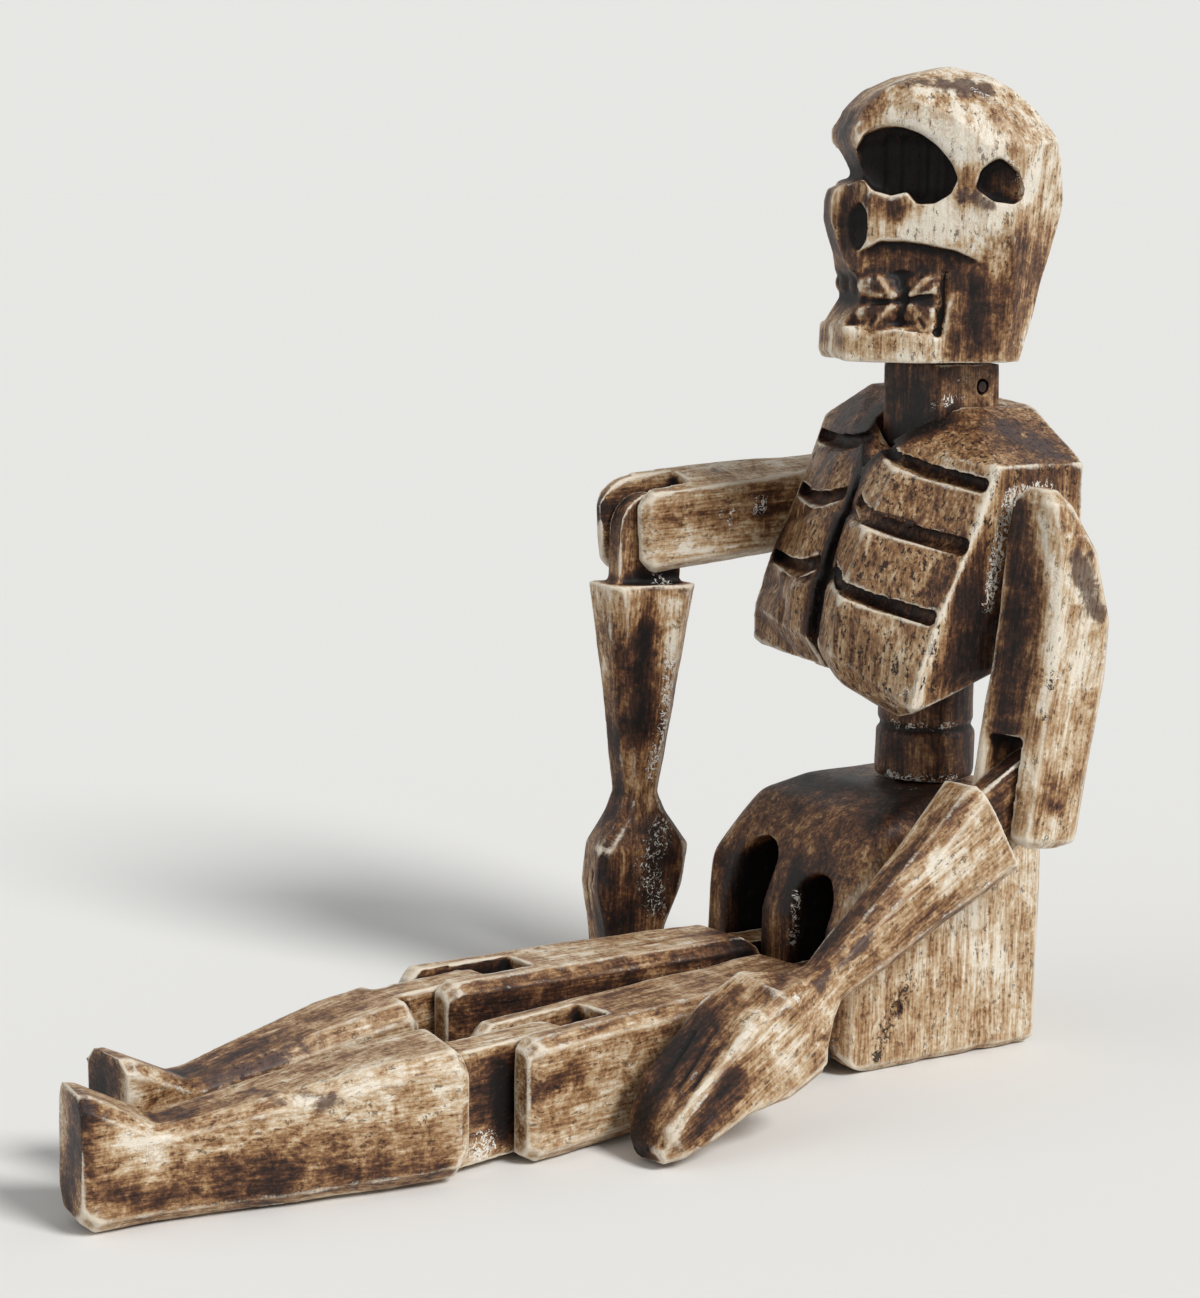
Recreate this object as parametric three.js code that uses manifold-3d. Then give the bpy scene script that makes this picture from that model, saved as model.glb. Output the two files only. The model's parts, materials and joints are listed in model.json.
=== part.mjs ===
// Carved wooden skeleton puppet with pinned limbs, sitting with its legs out in front.
// Millimetres. The figure faces -Y, its left hand is towards +X, and +Z is up.
// The origin is on the flat underside of the pelvis, on the surface that the figure sits on.
import * as THREE from 'three';
import { mergeVertices } from 'three/addons/utils/BufferGeometryUtils.js';
import loadManifold from 'manifold-3d';

const wasm = await loadManifold();
wasm.setup();

// Clearances
const PIN_FIT = 0.3; // round a pin or peg in its hole
const PEG_END_GAP = 0.3; // between faces that rest on each other
const FORK_PLAY = 0.6; // each side of a tongue in its fork
const PIN_SUNK = 0.6; // pin ends lie this far below the wood
const FLOOR_GAP = 0.4; // under a heel or hand that lies on the floor

// Pelvis block
const PELVIS_WIDTH = 59;
const PELVIS_FRONT = 36; // from the middle to the front face
const PELVIS_BACK = 28;
const PELVIS_HEIGHT = 63.5;
const PELVIS_EDGE = 11; // rounding of the front lower edge
const HIP_SPREAD = 26; // between the two hip pins
const HIP_SHIFT = 2.5; // the slots are cut a little to the left of the middle
const HIP_HEIGHT = 15;
const HIP_SETBACK = 15; // from the front face back to the hip pins
const HIP_SLOT_WIDTH = 14.5;
const HIP_SLOT_TOP = { left: 46, right: 50 };
const HIP_TONGUE_RADIUS = 11;

// Pins
const LIMB_PIN_RADIUS = 1.8;
const NECK_PIN_RADIUS = 1.3;

// Waist and neck pegs
const WAIST_BACK = 11; // the turning axis lies behind the middle of the seat
const WAIST_RADIUS = 12.6;
const WAIST_GROOVE_DEPTH = 1.4;
const WAIST_GROOVE_RISE = 13.4; // above the pelvis
const WAIST_TENON_RADIUS = 7;
const WAIST_TENON_LENGTH = 18;
const NECK_WIDTH = 21.5;
const NECK_CHAMFER = 1.4;
const NECK_TURN = 6; // from the chest
const NECK_BACK = 1.6; // behind the chest's turning axis
const NECK_LET_IN = 12; // into the chest
const NECK_TENON_RADIUS = 6;
const NECK_TENON_LENGTH = 18;

// Chest block, heights above the seat
const CHEST_TURN = -2;
const CHEST_BOTTOM = 86;
const CHEST_TOP = 157;
const CHEST_HALF_WIDTH = 38.8;
const CHEST_LEAN = 0.08; // its left side is carved lower than its right, for each mm across
const RIGHT_LOBE_SET_BACK = 4.5;
const RIGHT_SHOULDER_REACH = 2.1; // its top runs out this many times as far as the left one's
const RIGHT_LOBE_RISE = 6.8; // from the left lobe's bottom to the right one's
const BREASTBONE_GROOVE_WIDTH = 5;
const BREASTBONE_GROOVE_DEPTH = 4;
const RIB_GROOVE_HEIGHT = 2.8;
const RIB_GROOVE_DEPTH = 2.8;
const RIB_GROOVE_DROP = 5.4; // from the breastbone to the side
const RIB_GROOVE_LEVELS = [149.4, 135.8, 119.4]; // at the breastbone

// Skull, heights above its own flat base
const NECK_TOP = 166.2;
const SKULL_HEIGHT = 70;
const HEAD_TURN = -22;
const SKULL_BACK = 1.3; // behind the neck's axis

// Arms
const SHOULDER_GAP = 0.7; // between the chest side and the arm
const SHOULDER_BACK = 2.1;
const SHOULDER_HEIGHT = 127;
const UPPER_ARM_LENGTH = { left: 57, right: 55.5 }; // shoulder pin to elbow pin
const UPPER_ARM_THICKNESS = 15.8;
const UPPER_ARM_DEPTH = 21;
const UPPER_ARM_END = { left: 14.5, right: 11 }; // beyond the elbow pin
const OUTER_EDGE_RISE = { left: 0, right: 4 }; // the front edge stands higher on the outer side
const ELBOW_SLOT_WIDTH = 7.4;
const ELBOW_TONGUE_RADIUS = 9.2;
const FOREARM_LENGTH = { left: 77, right: 70 }; // elbow pin to wrist
const FOREARM_SKEW = { left: 7, right: 0 }; // of the forearm's body from its tongue
const FOREARM_SHOULDER = { left: 16.5, right: 13.5 }; // elbow pin to the square shoulders
const FOREARM_WIDTH = 26.5;
const WRIST_WIDTH = 10.5;
const HAND_LENGTH = { left: 55.5, right: 51 };
const HAND_WIDTH = 27;
const HAND_THICKNESS = 18;
const HAND_SLANT = 3.6; // its front edge stands higher on the inner side
const SHOULDER_SWING = { left: 6, right: 85.6 }; // forward from hanging
const ELBOW_BEND = { left: 53, right: -84 }; // forward from straight

// Legs
const LEG_TURN = { left: 10.5, right: 6 }; // both swing to the figure's left
const THIGH_LENGTH = { left: 113.5, right: 112 }; // hip pin to the fork's end
const THIGH_WIDTH = 23;
const THIGH_HEIGHT = 28;
const THIGH_RISE = { left: -0.3, right: 1.6 };
const KNEE_SETBACK = 13; // knee pin behind the fork's end
const KNEE_SLOT_WIDTH = 9.6;
const KNEE_TONGUE_RADIUS = 13;
const SHIN_LENGTH = { left: 109, right: 93.5 }; // knee pin to the sole
const SHIN_SKEW = { left: -16, right: 2 }; // of the shin's body from its tongue
const SHIN_SHOULDER = { left: 25.5, right: 19.5 }; // knee pin to the square shoulders
const SHIN_DROP = 13.6; // below the knee pin
const SHIN_RISE = { left: 16, right: 13.5 }; // above the knee pin at the shoulders
const ANKLE_RISE = 7;
const ANKLE_WIDTH = 15;
const FOOT_RISE = 15.5;
const FOOT_LENGTH = 19;
const FOOT_WIDTH = 18;

const SIDES = ['left', 'right'];
const PIN_SIDES = 12;
const FAR = 200; // longer than any piece, for cutters
const DEGREE = Math.PI / 180;
const sign = { left: 1, right: -1 };

// Solids and cuts

// A closed geometry as a solid that can be joined and cut
function solid(geometry) {
  const bare = geometry.clone();
  bare.deleteAttribute('normal');
  bare.deleteAttribute('uv');
  const merged = mergeVertices(bare, 1e-4);
  const index = merged.index.array;
  const triangles = [];
  for (let i = 0; i < index.length; i += 3) {
    const [a, b, c] = index.slice(i, i + 3);
    if (a !== b && b !== c && c !== a) triangles.push(a, b, c);
  }
  const vertProperties = new Float32Array(merged.attributes.position.array);
  const triVerts = new Uint32Array(triangles);
  return new wasm.Manifold(new wasm.Mesh({ numProp: 3, vertProperties, triVerts }));
}

function geometryOf(body) {
  const { vertProperties, triVerts } = body.getMesh();
  const geometry = new THREE.BufferGeometry();
  geometry.setAttribute('position', new THREE.BufferAttribute(new Float32Array(vertProperties), 3));
  geometry.setIndex(new THREE.BufferAttribute(new Uint32Array(triVerts), 1));
  geometry.computeVertexNormals();
  return geometry;
}

const vectors = (points) => points.map(([u, v]) => new THREE.Vector2(u, v));

// A prism of an outline, drawn along the local Z of the given axes
function prism(outline, from, to, axes = new THREE.Matrix4()) {
  const geometry = new THREE.ExtrudeGeometry(new THREE.Shape(vectors(outline)), {
    depth: to - from,
    bevelEnabled: false,
    curveSegments: 6,
  });
  geometry.translate(0, 0, from);
  geometry.applyMatrix4(axes);
  return solid(geometry);
}

const X = new THREE.Vector3(1, 0, 0);
const Y = new THREE.Vector3(0, 1, 0);
const Z = new THREE.Vector3(0, 0, 1);
const SIDE_AXES = new THREE.Matrix4().makeBasis(Y, Z, X);
const FRONT_AXES = new THREE.Matrix4().makeBasis(X, Z, Y.clone().negate());

// Outlines are (y, z) seen from the side, (x, z) from the front and (x, y) from above
const sidePrism = (outline, x0, x1) => prism(outline, x0, x1, SIDE_AXES);
const frontPrism = (outline, yFront, yBack) => prism(outline, -yBack, -yFront, FRONT_AXES);
const planPrism = (outline, z0, z1) => prism(outline, z0, z1);

// Both halves of an outline that is the same on either side of x = 0
const mirrored = (half) => [...half, ...half.map(([x, v]) => [-x, v]).reverse()];

// A solid through rings of points that have the same count, with flat ends
function loft(rings) {
  const count = rings[0].length;
  const index = [];
  for (let r = 0; r + 1 < rings.length; r++) {
    for (let i = 0; i < count; i++) {
      const a = r * count + i;
      const b = r * count + ((i + 1) % count);
      index.push(a, b, a + count, b, b + count, a + count);
    }
  }
  const last = (rings.length - 1) * count;
  for (let i = 1; i + 1 < count; i++) {
    index.push(0, i + 1, i, last, last + i, last + i + 1);
  }
  const geometry = new THREE.BufferGeometry();
  geometry.setAttribute('position', new THREE.Float32BufferAttribute(rings.flat(2), 3));
  geometry.setIndex(index);
  return solid(geometry);
}

// A limb along -Y: stations of distance, half width across X, lowest and highest z, chamfer,
// and how much higher the top stands at -X than at +X
function limb(stations) {
  return loft(stations.map(([along, half, low, high, cut, slant = 0]) => [
    [half - cut, -along, low],
    [half, -along, low + cut],
    [half, -along, high - cut - slant / 2],
    [half - cut, -along, high - slant / 2],
    [cut - half, -along, high + slant / 2],
    [-half, -along, high - cut + slant / 2],
    [-half, -along, low + cut],
    [cut - half, -along, low],
  ]));
}

function box(x0, x1, y0, y1, z0, z1) {
  const geometry = new THREE.BoxGeometry(x1 - x0, y1 - y0, z1 - z0);
  geometry.translate((x0 + x1) / 2, (y0 + y1) / 2, (z0 + z1) / 2);
  return solid(geometry);
}

// A round bar along X or Z
function barX(radius, x0, x1, y = 0, z = 0, sides = PIN_SIDES) {
  const geometry = new THREE.CylinderGeometry(radius, radius, x1 - x0, sides);
  geometry.rotateZ(Math.PI / 2);
  geometry.translate((x0 + x1) / 2, y, z);
  return solid(geometry);
}

function barZ(radius, z0, z1, x = 0, y = 0, sides = PIN_SIDES * 2) {
  const geometry = new THREE.CylinderGeometry(radius, radius, z1 - z0, sides);
  geometry.rotateX(Math.PI / 2);
  geometry.translate(x, y, (z0 + z1) / 2);
  return solid(geometry);
}

// An egg shape with its own half sizes, turned about Z
function egg(half, centre, turn, detail = 12) {
  const geometry = new THREE.SphereGeometry(1, detail, detail / 2);
  geometry.scale(...half);
  geometry.rotateZ(turn * DEGREE);
  geometry.translate(...centre);
  return solid(geometry);
}

// Takes off the wood beyond a plane through a point
function shave(body, point, normal) {
  const facing = new THREE.Vector3(...normal).normalize();
  const geometry = new THREE.BoxGeometry(FAR, FAR, FAR);
  geometry.translate(0, 0, FAR / 2);
  geometry.applyQuaternion(new THREE.Quaternion().setFromUnitVectors(Z, facing));
  geometry.translate(...point);
  return body.subtract(solid(geometry));
}

// Takes the same wood off both sides
function shaveBoth(body, [x, y, z], [nx, ny, nz]) {
  return shave(shave(body, [x, y, z], [nx, ny, nz]), [-x, y, z], [-nx, ny, nz]);
}

const moved = (body, x, y, z) => body.translate([x, y, z]);

// A fork's slot, open at the end and through both edges of the limb
const slot = (width, from, to) => box(-width / 2, width / 2, -to, -from, -FAR, FAR);

// What lies beyond a radius about the pin at the end of a fork
function roundOff(radius, along) {
  const beyond = box(-FAR, FAR, -FAR - along, -along, -FAR, FAR);
  return beyond.subtract(barX(radius, -FAR - 1, FAR + 1, -along, 0, PIN_SIDES * 3));
}

// A tongue with a round end about the pin
function tongue(width, radius, reach) {
  const half = width / 2;
  return barX(radius, -half, half, 0, 0, 20).add(box(-half, half, -reach, 0, -radius, radius));
}

const finish = (color, roughness) => ({ color, roughness, metalness: 0 });
const BONE = finish(0xcdb58c, 0.5);
const BROWN = finish(0x7a5534, 0.5);
const UMBER = finish(0x3a2415, 0.45);
const DOWEL = finish(0x2a1a10, 0.6);

function mesh(name, body, look) {
  const material = new THREE.MeshStandardMaterial({ ...look, flatShading: true });
  const piece = new THREE.Mesh(geometryOf(body), material);
  piece.name = name;
  return piece;
}

// Pelvis

const hipX = (side) => HIP_SHIFT + sign[side] * (HIP_SPREAD / 2);
const hipY = HIP_SETBACK - PELVIS_FRONT;
// Farthest corner of the pelvis from the hip pins, which the thighs' shoulders swing past
const hipReach = PELVIS_EDGE + Math.hypot(HIP_SETBACK - PELVIS_EDGE, HIP_HEIGHT - PELVIS_EDGE);

function pelvisSideOutline() {
  const outline = [];
  for (let step = 0; step <= 6; step++) {
    const angle = (step / 6) * (Math.PI / 2);
    const y = PELVIS_EDGE * (1 - Math.sin(angle)) - PELVIS_FRONT;
    outline.push([y, PELVIS_EDGE * (1 - Math.cos(angle))]);
  }
  const top = PELVIS_HEIGHT;
  outline.push([-PELVIS_FRONT, top - 28], [2.5 - PELVIS_FRONT, top - 20], [8 - PELVIS_FRONT, top - 11]);
  outline.push([15 - PELVIS_FRONT, top - 4], [26 - PELVIS_FRONT, top]);
  outline.push([PELVIS_BACK - 5, top], [PELVIS_BACK, top - 6], [PELVIS_BACK, top - 18]);
  outline.push([PELVIS_BACK - 3, 2], [PELVIS_BACK - 5, 0]);
  return outline;
}

function pelvisFrontOutline() {
  const half = PELVIS_WIDTH / 2;
  const top = PELVIS_HEIGHT;
  return mirrored([[half - 2, 0], [half, 2], [half, top - 14], [half - 3, top - 5], [half - 9, top]]);
}

function hipSlot(side) {
  const half = HIP_SLOT_WIDTH / 2;
  const top = HIP_SLOT_TOP[side];
  const arch = [[half, -1], [half, top - half]];
  for (let step = 1; step < 6; step++) {
    const angle = (step / 6) * Math.PI;
    arch.push([half * Math.cos(angle), top - half + half * Math.sin(angle)]);
  }
  arch.push([-half, top - half], [-half, -1]);
  return moved(frontPrism(arch, -FAR, hipY + HIP_TONGUE_RADIUS + 2), hipX(side), 0, 0);
}

// Hip pins run from the outer side into the bar between the slots, square to their own leg
function hipBar(side, radius, slack) {
  const inner = HIP_SLOT_WIDTH / 2 + 4;
  const outer = PELVIS_WIDTH / 2 - Math.abs(hipX(side)) - 2 * PIN_SUNK;
  const ends = [-inner - slack, outer + (slack ? FAR : 0)];
  const [x0, x1] = side === 'left' ? ends : [-ends[1], -ends[0]];
  return barX(radius, x0, x1);
}

function placedAtHip(body, side) {
  return moved(body.rotate([0, 0, LEG_TURN[side]]), hipX(side), hipY, HIP_HEIGHT);
}

function pelvis() {
  let body = sidePrism(pelvisSideOutline(), -FAR, FAR);
  body = body.intersect(frontPrism(pelvisFrontOutline(), -FAR, FAR));
  const half = PELVIS_WIDTH / 2;
  body = shaveBoth(body, [half, 4 - PELVIS_FRONT, 0], [1, -1, 0]);
  body = shaveBoth(body, [half, PELVIS_BACK - 4, 0], [1, 1, 0]);
  body = shaveBoth(body, [half - 4, 5 - PELVIS_FRONT, PELVIS_HEIGHT - 15], [1, -1, 1]);
  for (const side of SIDES) {
    body = body.subtract(hipSlot(side));
    body = body.subtract(placedAtHip(hipBar(side, LIMB_PIN_RADIUS + PIN_FIT, PEG_END_GAP), side));
  }
  const depth = WAIST_TENON_LENGTH + PEG_END_GAP;
  const hole = barZ(WAIST_TENON_RADIUS + PIN_FIT, PELVIS_HEIGHT - depth, FAR, 0, WAIST_BACK);
  return mesh('pelvis', body.subtract(hole), BROWN);
}

// Waist peg, with a groove between its two rings

const waistLow = PELVIS_HEIGHT + PEG_END_GAP;
const waistHigh = CHEST_BOTTOM + 5; // it stands in a socket under the chest

function waistPeg() {
  const middle = PELVIS_HEIGHT + WAIST_GROOVE_RISE;
  const profile = [
    [0, PELVIS_HEIGHT - WAIST_TENON_LENGTH],
    [WAIST_TENON_RADIUS, PELVIS_HEIGHT - WAIST_TENON_LENGTH],
    [WAIST_TENON_RADIUS, waistLow],
    [WAIST_RADIUS - 0.5, waistLow],
    [WAIST_RADIUS, waistLow + 2],
    [WAIST_RADIUS, middle - 1.5],
    [WAIST_RADIUS - WAIST_GROOVE_DEPTH, middle],
    [WAIST_RADIUS - 0.4, middle + 1.5],
    [WAIST_RADIUS - 0.8, waistHigh],
    [WAIST_TENON_RADIUS, waistHigh],
    [WAIST_TENON_RADIUS, waistHigh + WAIST_TENON_LENGTH],
    [0, waistHigh + WAIST_TENON_LENGTH],
  ];
  const geometry = new THREE.LatheGeometry(vectors(profile), PIN_SIDES * 2);
  geometry.rotateX(Math.PI / 2);
  geometry.translate(0, WAIST_BACK, 0);
  return mesh('waist_peg', solid(geometry), UMBER);
}

// Chest

// Half rings from the breastbone round to the spine, at heights from the bottom to the neck
function chestRing(z, keel, crown, outer, back, spine, inset, reach) {
  const shrunk = ([x, y]) => [Math.max(x - inset, 0), y < 0 ? y + inset : y - inset];
  const set = ([x, y]) => [-x * reach, y < 0 ? y + RIGHT_LOBE_SET_BACK : y];
  const half = [crown, outer, back, spine].map(shrunk);
  const right = half.map(set).reverse();
  const ring = [[0, keel + inset], ...half, ...right];
  return ring.map(([x, y]) => [x, y, z - CHEST_LEAN * x]);
}

// The lobes are round below, full at the front, and slope back to the neck
function chestBlock(inset = 0) {
  const wide = CHEST_HALF_WIDTH;
  const low = CHEST_BOTTOM;
  const rings = [
    [low + inset, -18, [14, -25], [wide - 9, -26.5], [wide - 12, 6], [12, 10]],
    [low + 5.5, -29, [12, -34], [wide - 1.5, -32], [wide - 7, 6], [16, 13]],
    [low + 13.5, -35, [12, -38], [wide - 0.3, -31], [wide - 3, 9], [20, 16]],
    [low + 26, -33, [13, -37], [wide, -26.5], [wide - 1, 13], [22, 19]],
    [low + 42, -27.5, [14, -31.5], [wide, -18.5], [wide, 15], [24, 21]],
    [low + 61.5, -18.5, [14, -19.6], [wide, -10.5], [wide, 15], [24, 21.5]],
    [CHEST_TOP, -6, [10.5, -3.5], [13, 0], [14, 19], [8, 20.5]],
  ];
  const reach = (z) => (z === CHEST_TOP ? RIGHT_SHOULDER_REACH : 1);
  return loft(rings.map(([z, ...ring]) => chestRing(z, ...ring, inset, reach(z))));
}

// One rib groove in front view: it droops from the breastbone to the side
function ribGroove(side, level) {
  const thick = RIB_GROOVE_HEIGHT;
  const drop = RIB_GROOVE_DROP;
  const end = CHEST_HALF_WIDTH - 1.5;
  const upper = [[4, level], [11, level - drop * 0.5], [21, level - drop * 0.8], [end, level - drop]];
  const lower = upper.map(([x, z]) => [x, z - thick]).reverse();
  const lean = ([x, z]) => [sign[side] * x, z - sign[side] * x * CHEST_LEAN];
  return frontPrism([...upper, ...lower].map(lean), -FAR, -6);
}

// The groove down the breastbone, a little narrower towards its floor
function breastboneGroove() {
  const half = BREASTBONE_GROOVE_WIDTH / 2;
  const depth = BREASTBONE_GROOVE_DEPTH;
  const keel = [[-18.5, 62], [-27.5, 42], [-33, 26], [-35, 13], [-24, -3]];
  const floor = keel.map(([y, rise]) => [y + depth, CHEST_BOTTOM + rise]);
  const front = floor.map(([y, z]) => [y - 20, z]).reverse();
  const strip = sidePrism([...floor, ...front], -half - 1, half + 1);
  return shaveBoth(strip, [half, -33, CHEST_BOTTOM + 26], [1, 0.12, 0.02]);
}

// The left lobe hangs lower than the right one, and rises at its outer side
function chestUnderside(body) {
  const step = CHEST_BOTTOM + RIGHT_LOBE_RISE;
  const cut = body.subtract(box(-FAR, -BREASTBONE_GROOVE_WIDTH / 2, -FAR, -15, 0, step));
  return shave(cut, [36, -30, CHEST_BOTTOM + 1.2], [0.34, 0.31, -0.89]);
}

// The V of the collar, cut back to the neck
function collar() {
  const top = CHEST_TOP;
  const outline = mirrored([[0.3, top - 15.8], [12.6, top - 1.6], [14, top + 0.5], [14, FAR]]);
  return frontPrism(outline, -FAR, NECK_BACK - NECK_WIDTH / 2 + 0.6);
}

const neckLow = CHEST_TOP - NECK_LET_IN;

// The square pocket that the neck stands in, and the hole for its tenon
function neckSeat() {
  const half = NECK_WIDTH / 2 + PIN_FIT;
  const pocket = box(-half, half, -half, half, neckLow - PEG_END_GAP, FAR).rotate([0, 0, NECK_TURN]);
  const low = CHEST_TOP - NECK_TENON_LENGTH - PEG_END_GAP;
  return moved(pocket.add(barZ(NECK_TENON_RADIUS + PIN_FIT, low, FAR)), 0, NECK_BACK, 0);
}

const shoulderX = CHEST_HALF_WIDTH + SHOULDER_GAP + UPPER_ARM_THICKNESS / 2;
const shoulderPinDepth = 14;

function chest() {
  const core = chestBlock(RIB_GROOVE_DEPTH);
  let body = chestUnderside(chestBlock()).subtract(breastboneGroove()).subtract(collar());
  for (const side of SIDES) {
    for (const level of RIB_GROOVE_LEVELS) {
      body = body.subtract(ribGroove(side, level).subtract(core));
    }
    const reach = CHEST_HALF_WIDTH - shoulderPinDepth - PEG_END_GAP;
    const ends = side === 'left' ? [reach, FAR] : [-FAR, -reach];
    body = body.subtract(barX(LIMB_PIN_RADIUS + PIN_FIT, ...ends, SHOULDER_BACK, SHOULDER_HEIGHT));
  }
  const seat = barZ(WAIST_RADIUS + PIN_FIT, 0, waistHigh + PEG_END_GAP);
  const depth = waistHigh + WAIST_TENON_LENGTH + PEG_END_GAP;
  body = body.subtract(seat).subtract(barZ(WAIST_TENON_RADIUS + PIN_FIT, 0, depth));
  return mesh('chest', body.subtract(neckSeat()), BROWN);
}

// Neck: a square block with round tenons into the chest and the skull, and a pin across its foot

const neckPinZ = CHEST_TOP + 3.4;
const neckPinY = 4;
const neckPinInner = -2;

function neckPeg() {
  const half = NECK_WIDTH / 2;
  const corner = half - NECK_CHAMFER;
  const outline = mirrored([[corner, -half], [half, -corner], [half, corner], [corner, half]]);
  const low = CHEST_TOP - NECK_TENON_LENGTH;
  const tenon = barZ(NECK_TENON_RADIUS, low, NECK_TOP + NECK_TENON_LENGTH);
  const hole = barX(NECK_PIN_RADIUS + PIN_FIT, neckPinInner - PEG_END_GAP, FAR, neckPinY, neckPinZ);
  return mesh('neck_peg', planPrism(outline, neckLow, NECK_TOP).add(tenon).subtract(hole), UMBER);
}

function neckPin() {
  const body = barX(NECK_PIN_RADIUS, neckPinInner, NECK_WIDTH / 2 - PIN_SUNK, neckPinY, neckPinZ);
  return mesh('neck_pin', body, DOWEL);
}

function addNeck(parent) {
  const neck = new THREE.Group();
  neck.position.set(0, NECK_BACK, 0);
  neck.rotation.z = NECK_TURN * DEGREE;
  neck.add(neckPeg(), neckPin());
  parent.add(neck);
}

// Skull, in its own frame: the neck's axis at x = y = 0 and its flat base at z = 0

function skullSideOutline() {
  const top = SKULL_HEIGHT;
  return [
    [-28.8, 0], [-30, 2], [-29.8, 8], [-27.6, 11.5], [-25.4, 14.5], [-25.8, 19], [-27.4, 21.5],
    [-31.4, 33], [-31.8, 37], [-30.6, 40.8], [-24.2, 43.6], [-24.6, 45.2], [-28, top - 18],
    [-28.2, top - 15], [-26, top - 10.5], [-21, top - 6], [-13.6, top - 2.4], [-3.3, top],
    [4.6, top - 1.6], [11.4, top - 5.2], [16.2, top - 9.2], [20.4, top - 14.6], [22.9, top - 21.6],
    [24.8, top - 31], [24.6, top - 34], [14.4, 0],
  ];
}

function skullFrontOutline() {
  const top = SKULL_HEIGHT;
  return mirrored([
    [17.4, 0], [18.6, 14], [20.5, 25], [23, 32], [23.6, 41],
    [23, 51], [20, top - 12], [14, top - 5], [5, top],
  ]);
}

function skullPlanOutline() {
  return mirrored([
    [8, -31.5], [11, -29.2], [14.5, -21.5], [19.5, -8.5], [23.2, 2], [23.4, 10], [18.5, 20], [9, 27.5],
  ]);
}

const CHEEK_SLOPE = 0.36;
const cheekTurn = (side) => -sign[side] * (Math.atan(CHEEK_SLOPE) / DEGREE);

// Frame of the slanting side of the face: along the cheek from its front edge, and outwards
function cheekAxes(side) {
  const s = sign[side];
  const along = new THREE.Vector3(s * CHEEK_SLOPE, 1, 0).normalize();
  const out = new THREE.Vector3(s, -CHEEK_SLOPE, 0).normalize();
  return { along, out, at: new THREE.Vector3(s * 11.4, -28.5, 0) };
}

// A cutter over the cheek: an outline of distance along it and height, down to a floor below it
function cheekPrism(side, outline, floor, lean = 0) {
  const { along, out, at } = cheekAxes(side);
  const tilted = out.clone().addScaledVector(Z, lean).normalize();
  const up = Z.clone().addScaledVector(out, -lean).normalize();
  const flip = sign[side];
  const axes = new THREE.Matrix4().makeBasis(along.multiplyScalar(flip), up, tilted);
  axes.setPosition(at);
  return prism(outline.map(([u, z]) => [flip * u, z]), floor, FAR / 4, axes);
}

// An egg shape at a distance along the cheek, a height and a depth below the cheek
function cheekEgg(side, u, z, depth, half, detail) {
  const { along, out, at } = cheekAxes(side);
  const centre = at.addScaledVector(along, u).addScaledVector(out, -depth).setZ(z);
  return egg(half, centre.toArray(), cheekTurn(side), detail);
}

const EYE_DEPTH = 9;

// A bowl inside the socket's rim, which has a notch in its lower edge
function eyeSocket(side) {
  const rim = [
    [-0.5, 45.7], [0.4, 48.9], [2.8, 53.3], [6.9, 54.9], [11.3, 55.1], [15.8, 53.7], [19.7, 51],
    [23, 47.3], [24.8, 43.5], [23.2, 40], [19.5, 37.8], [15.6, 37.6], [13.1, 40.4], [9.5, 39.4],
    [5.2, 40.6], [2.2, 43.8],
  ];
  const proud = 2;
  const bowl = cheekEgg(side, 12, 46, -proud, [EYE_DEPTH + proud, 15.5, 12], 14);
  return cheekPrism(side, rim, -EYE_DEPTH - 1).intersect(bowl);
}

function templeHole(side) {
  const outline = [
    [29.3, 41.4], [33.5, 38.5], [38.1, 38], [40.7, 40], [38.7, 45], [34.4, 48.4], [30.4, 45.5],
  ];
  return cheekPrism(side, outline, -5);
}

// Deepest under the cheekbone, and gone at the jaw
function cheekHollow(side) {
  const outline = [
    [-4, 8], [23, 8], [35, 8], [36.3, 14.7], [35.8, 18.8], [33.5, 22.3], [29.5, 24.6], [25, 26.3],
    [20.4, 27.2], [13, 28.4], [7.3, 28.4], [4.4, 26.9], [-4, 24],
  ];
  return cheekPrism(side, outline, 1, 0.135);
}

const TOOTH_COUNT = 2; // on each side of a row, behind the front one
const TOOTH_PITCH = 11.2;
const TOOTH_ROWS = [{ z: 18.2, high: 3.8 }, { z: 11.5, high: 3.4 }];
const TEETH_DEPTH = 2.8;

// The pocket that the teeth stand in, with a deeper groove at its back
function mouth(side) {
  const end = TOOTH_COUNT * TOOTH_PITCH;
  const pocket = [[-4, 9], [end - 0.5, 8.6], [end - 0.5, 20.5], [end - 4, 22], [-4, 21]];
  const groove = [[end - 1.5, 6.5], [end, 6.5], [end + 1.6, 21], [end - 0.4, 21.5]];
  const deep = cheekPrism(side, groove, -TEETH_DEPTH - 1.2);
  return cheekPrism(side, pocket, -TEETH_DEPTH).add(deep);
}

function teeth(side) {
  const bumps = [];
  for (const { z, high } of TOOTH_ROWS) {
    for (let i = 0; i < TOOTH_COUNT; i++) {
      const half = [TEETH_DEPTH, TOOTH_PITCH / 2, high];
      bumps.push(cheekEgg(side, (i + 0.6) * TOOTH_PITCH, z, TEETH_DEPTH, half, 10));
    }
    bumps.push(egg([4.2, TEETH_DEPTH, high * 0.85], [sign[side] * 4.2, -24, z], 0, 10));
  }
  return bumps.reduce((row, bump) => row.add(bump));
}

// The nose is a ridge with a hollow on either side
function noseSide(side) {
  const s = sign[side];
  const outline = [[3, -36], [15, -36], [15, -24], [9.6, -26.4], [4.5, -28.6]].map(([x, y]) => [s * x, y]);
  return planPrism(outline, 21.5, 42.5);
}

function nostril(side) {
  return egg([3.4, 4, 6], [sign[side] * 9.4, -26.8, 32], -sign[side] * 40, 10);
}

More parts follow.
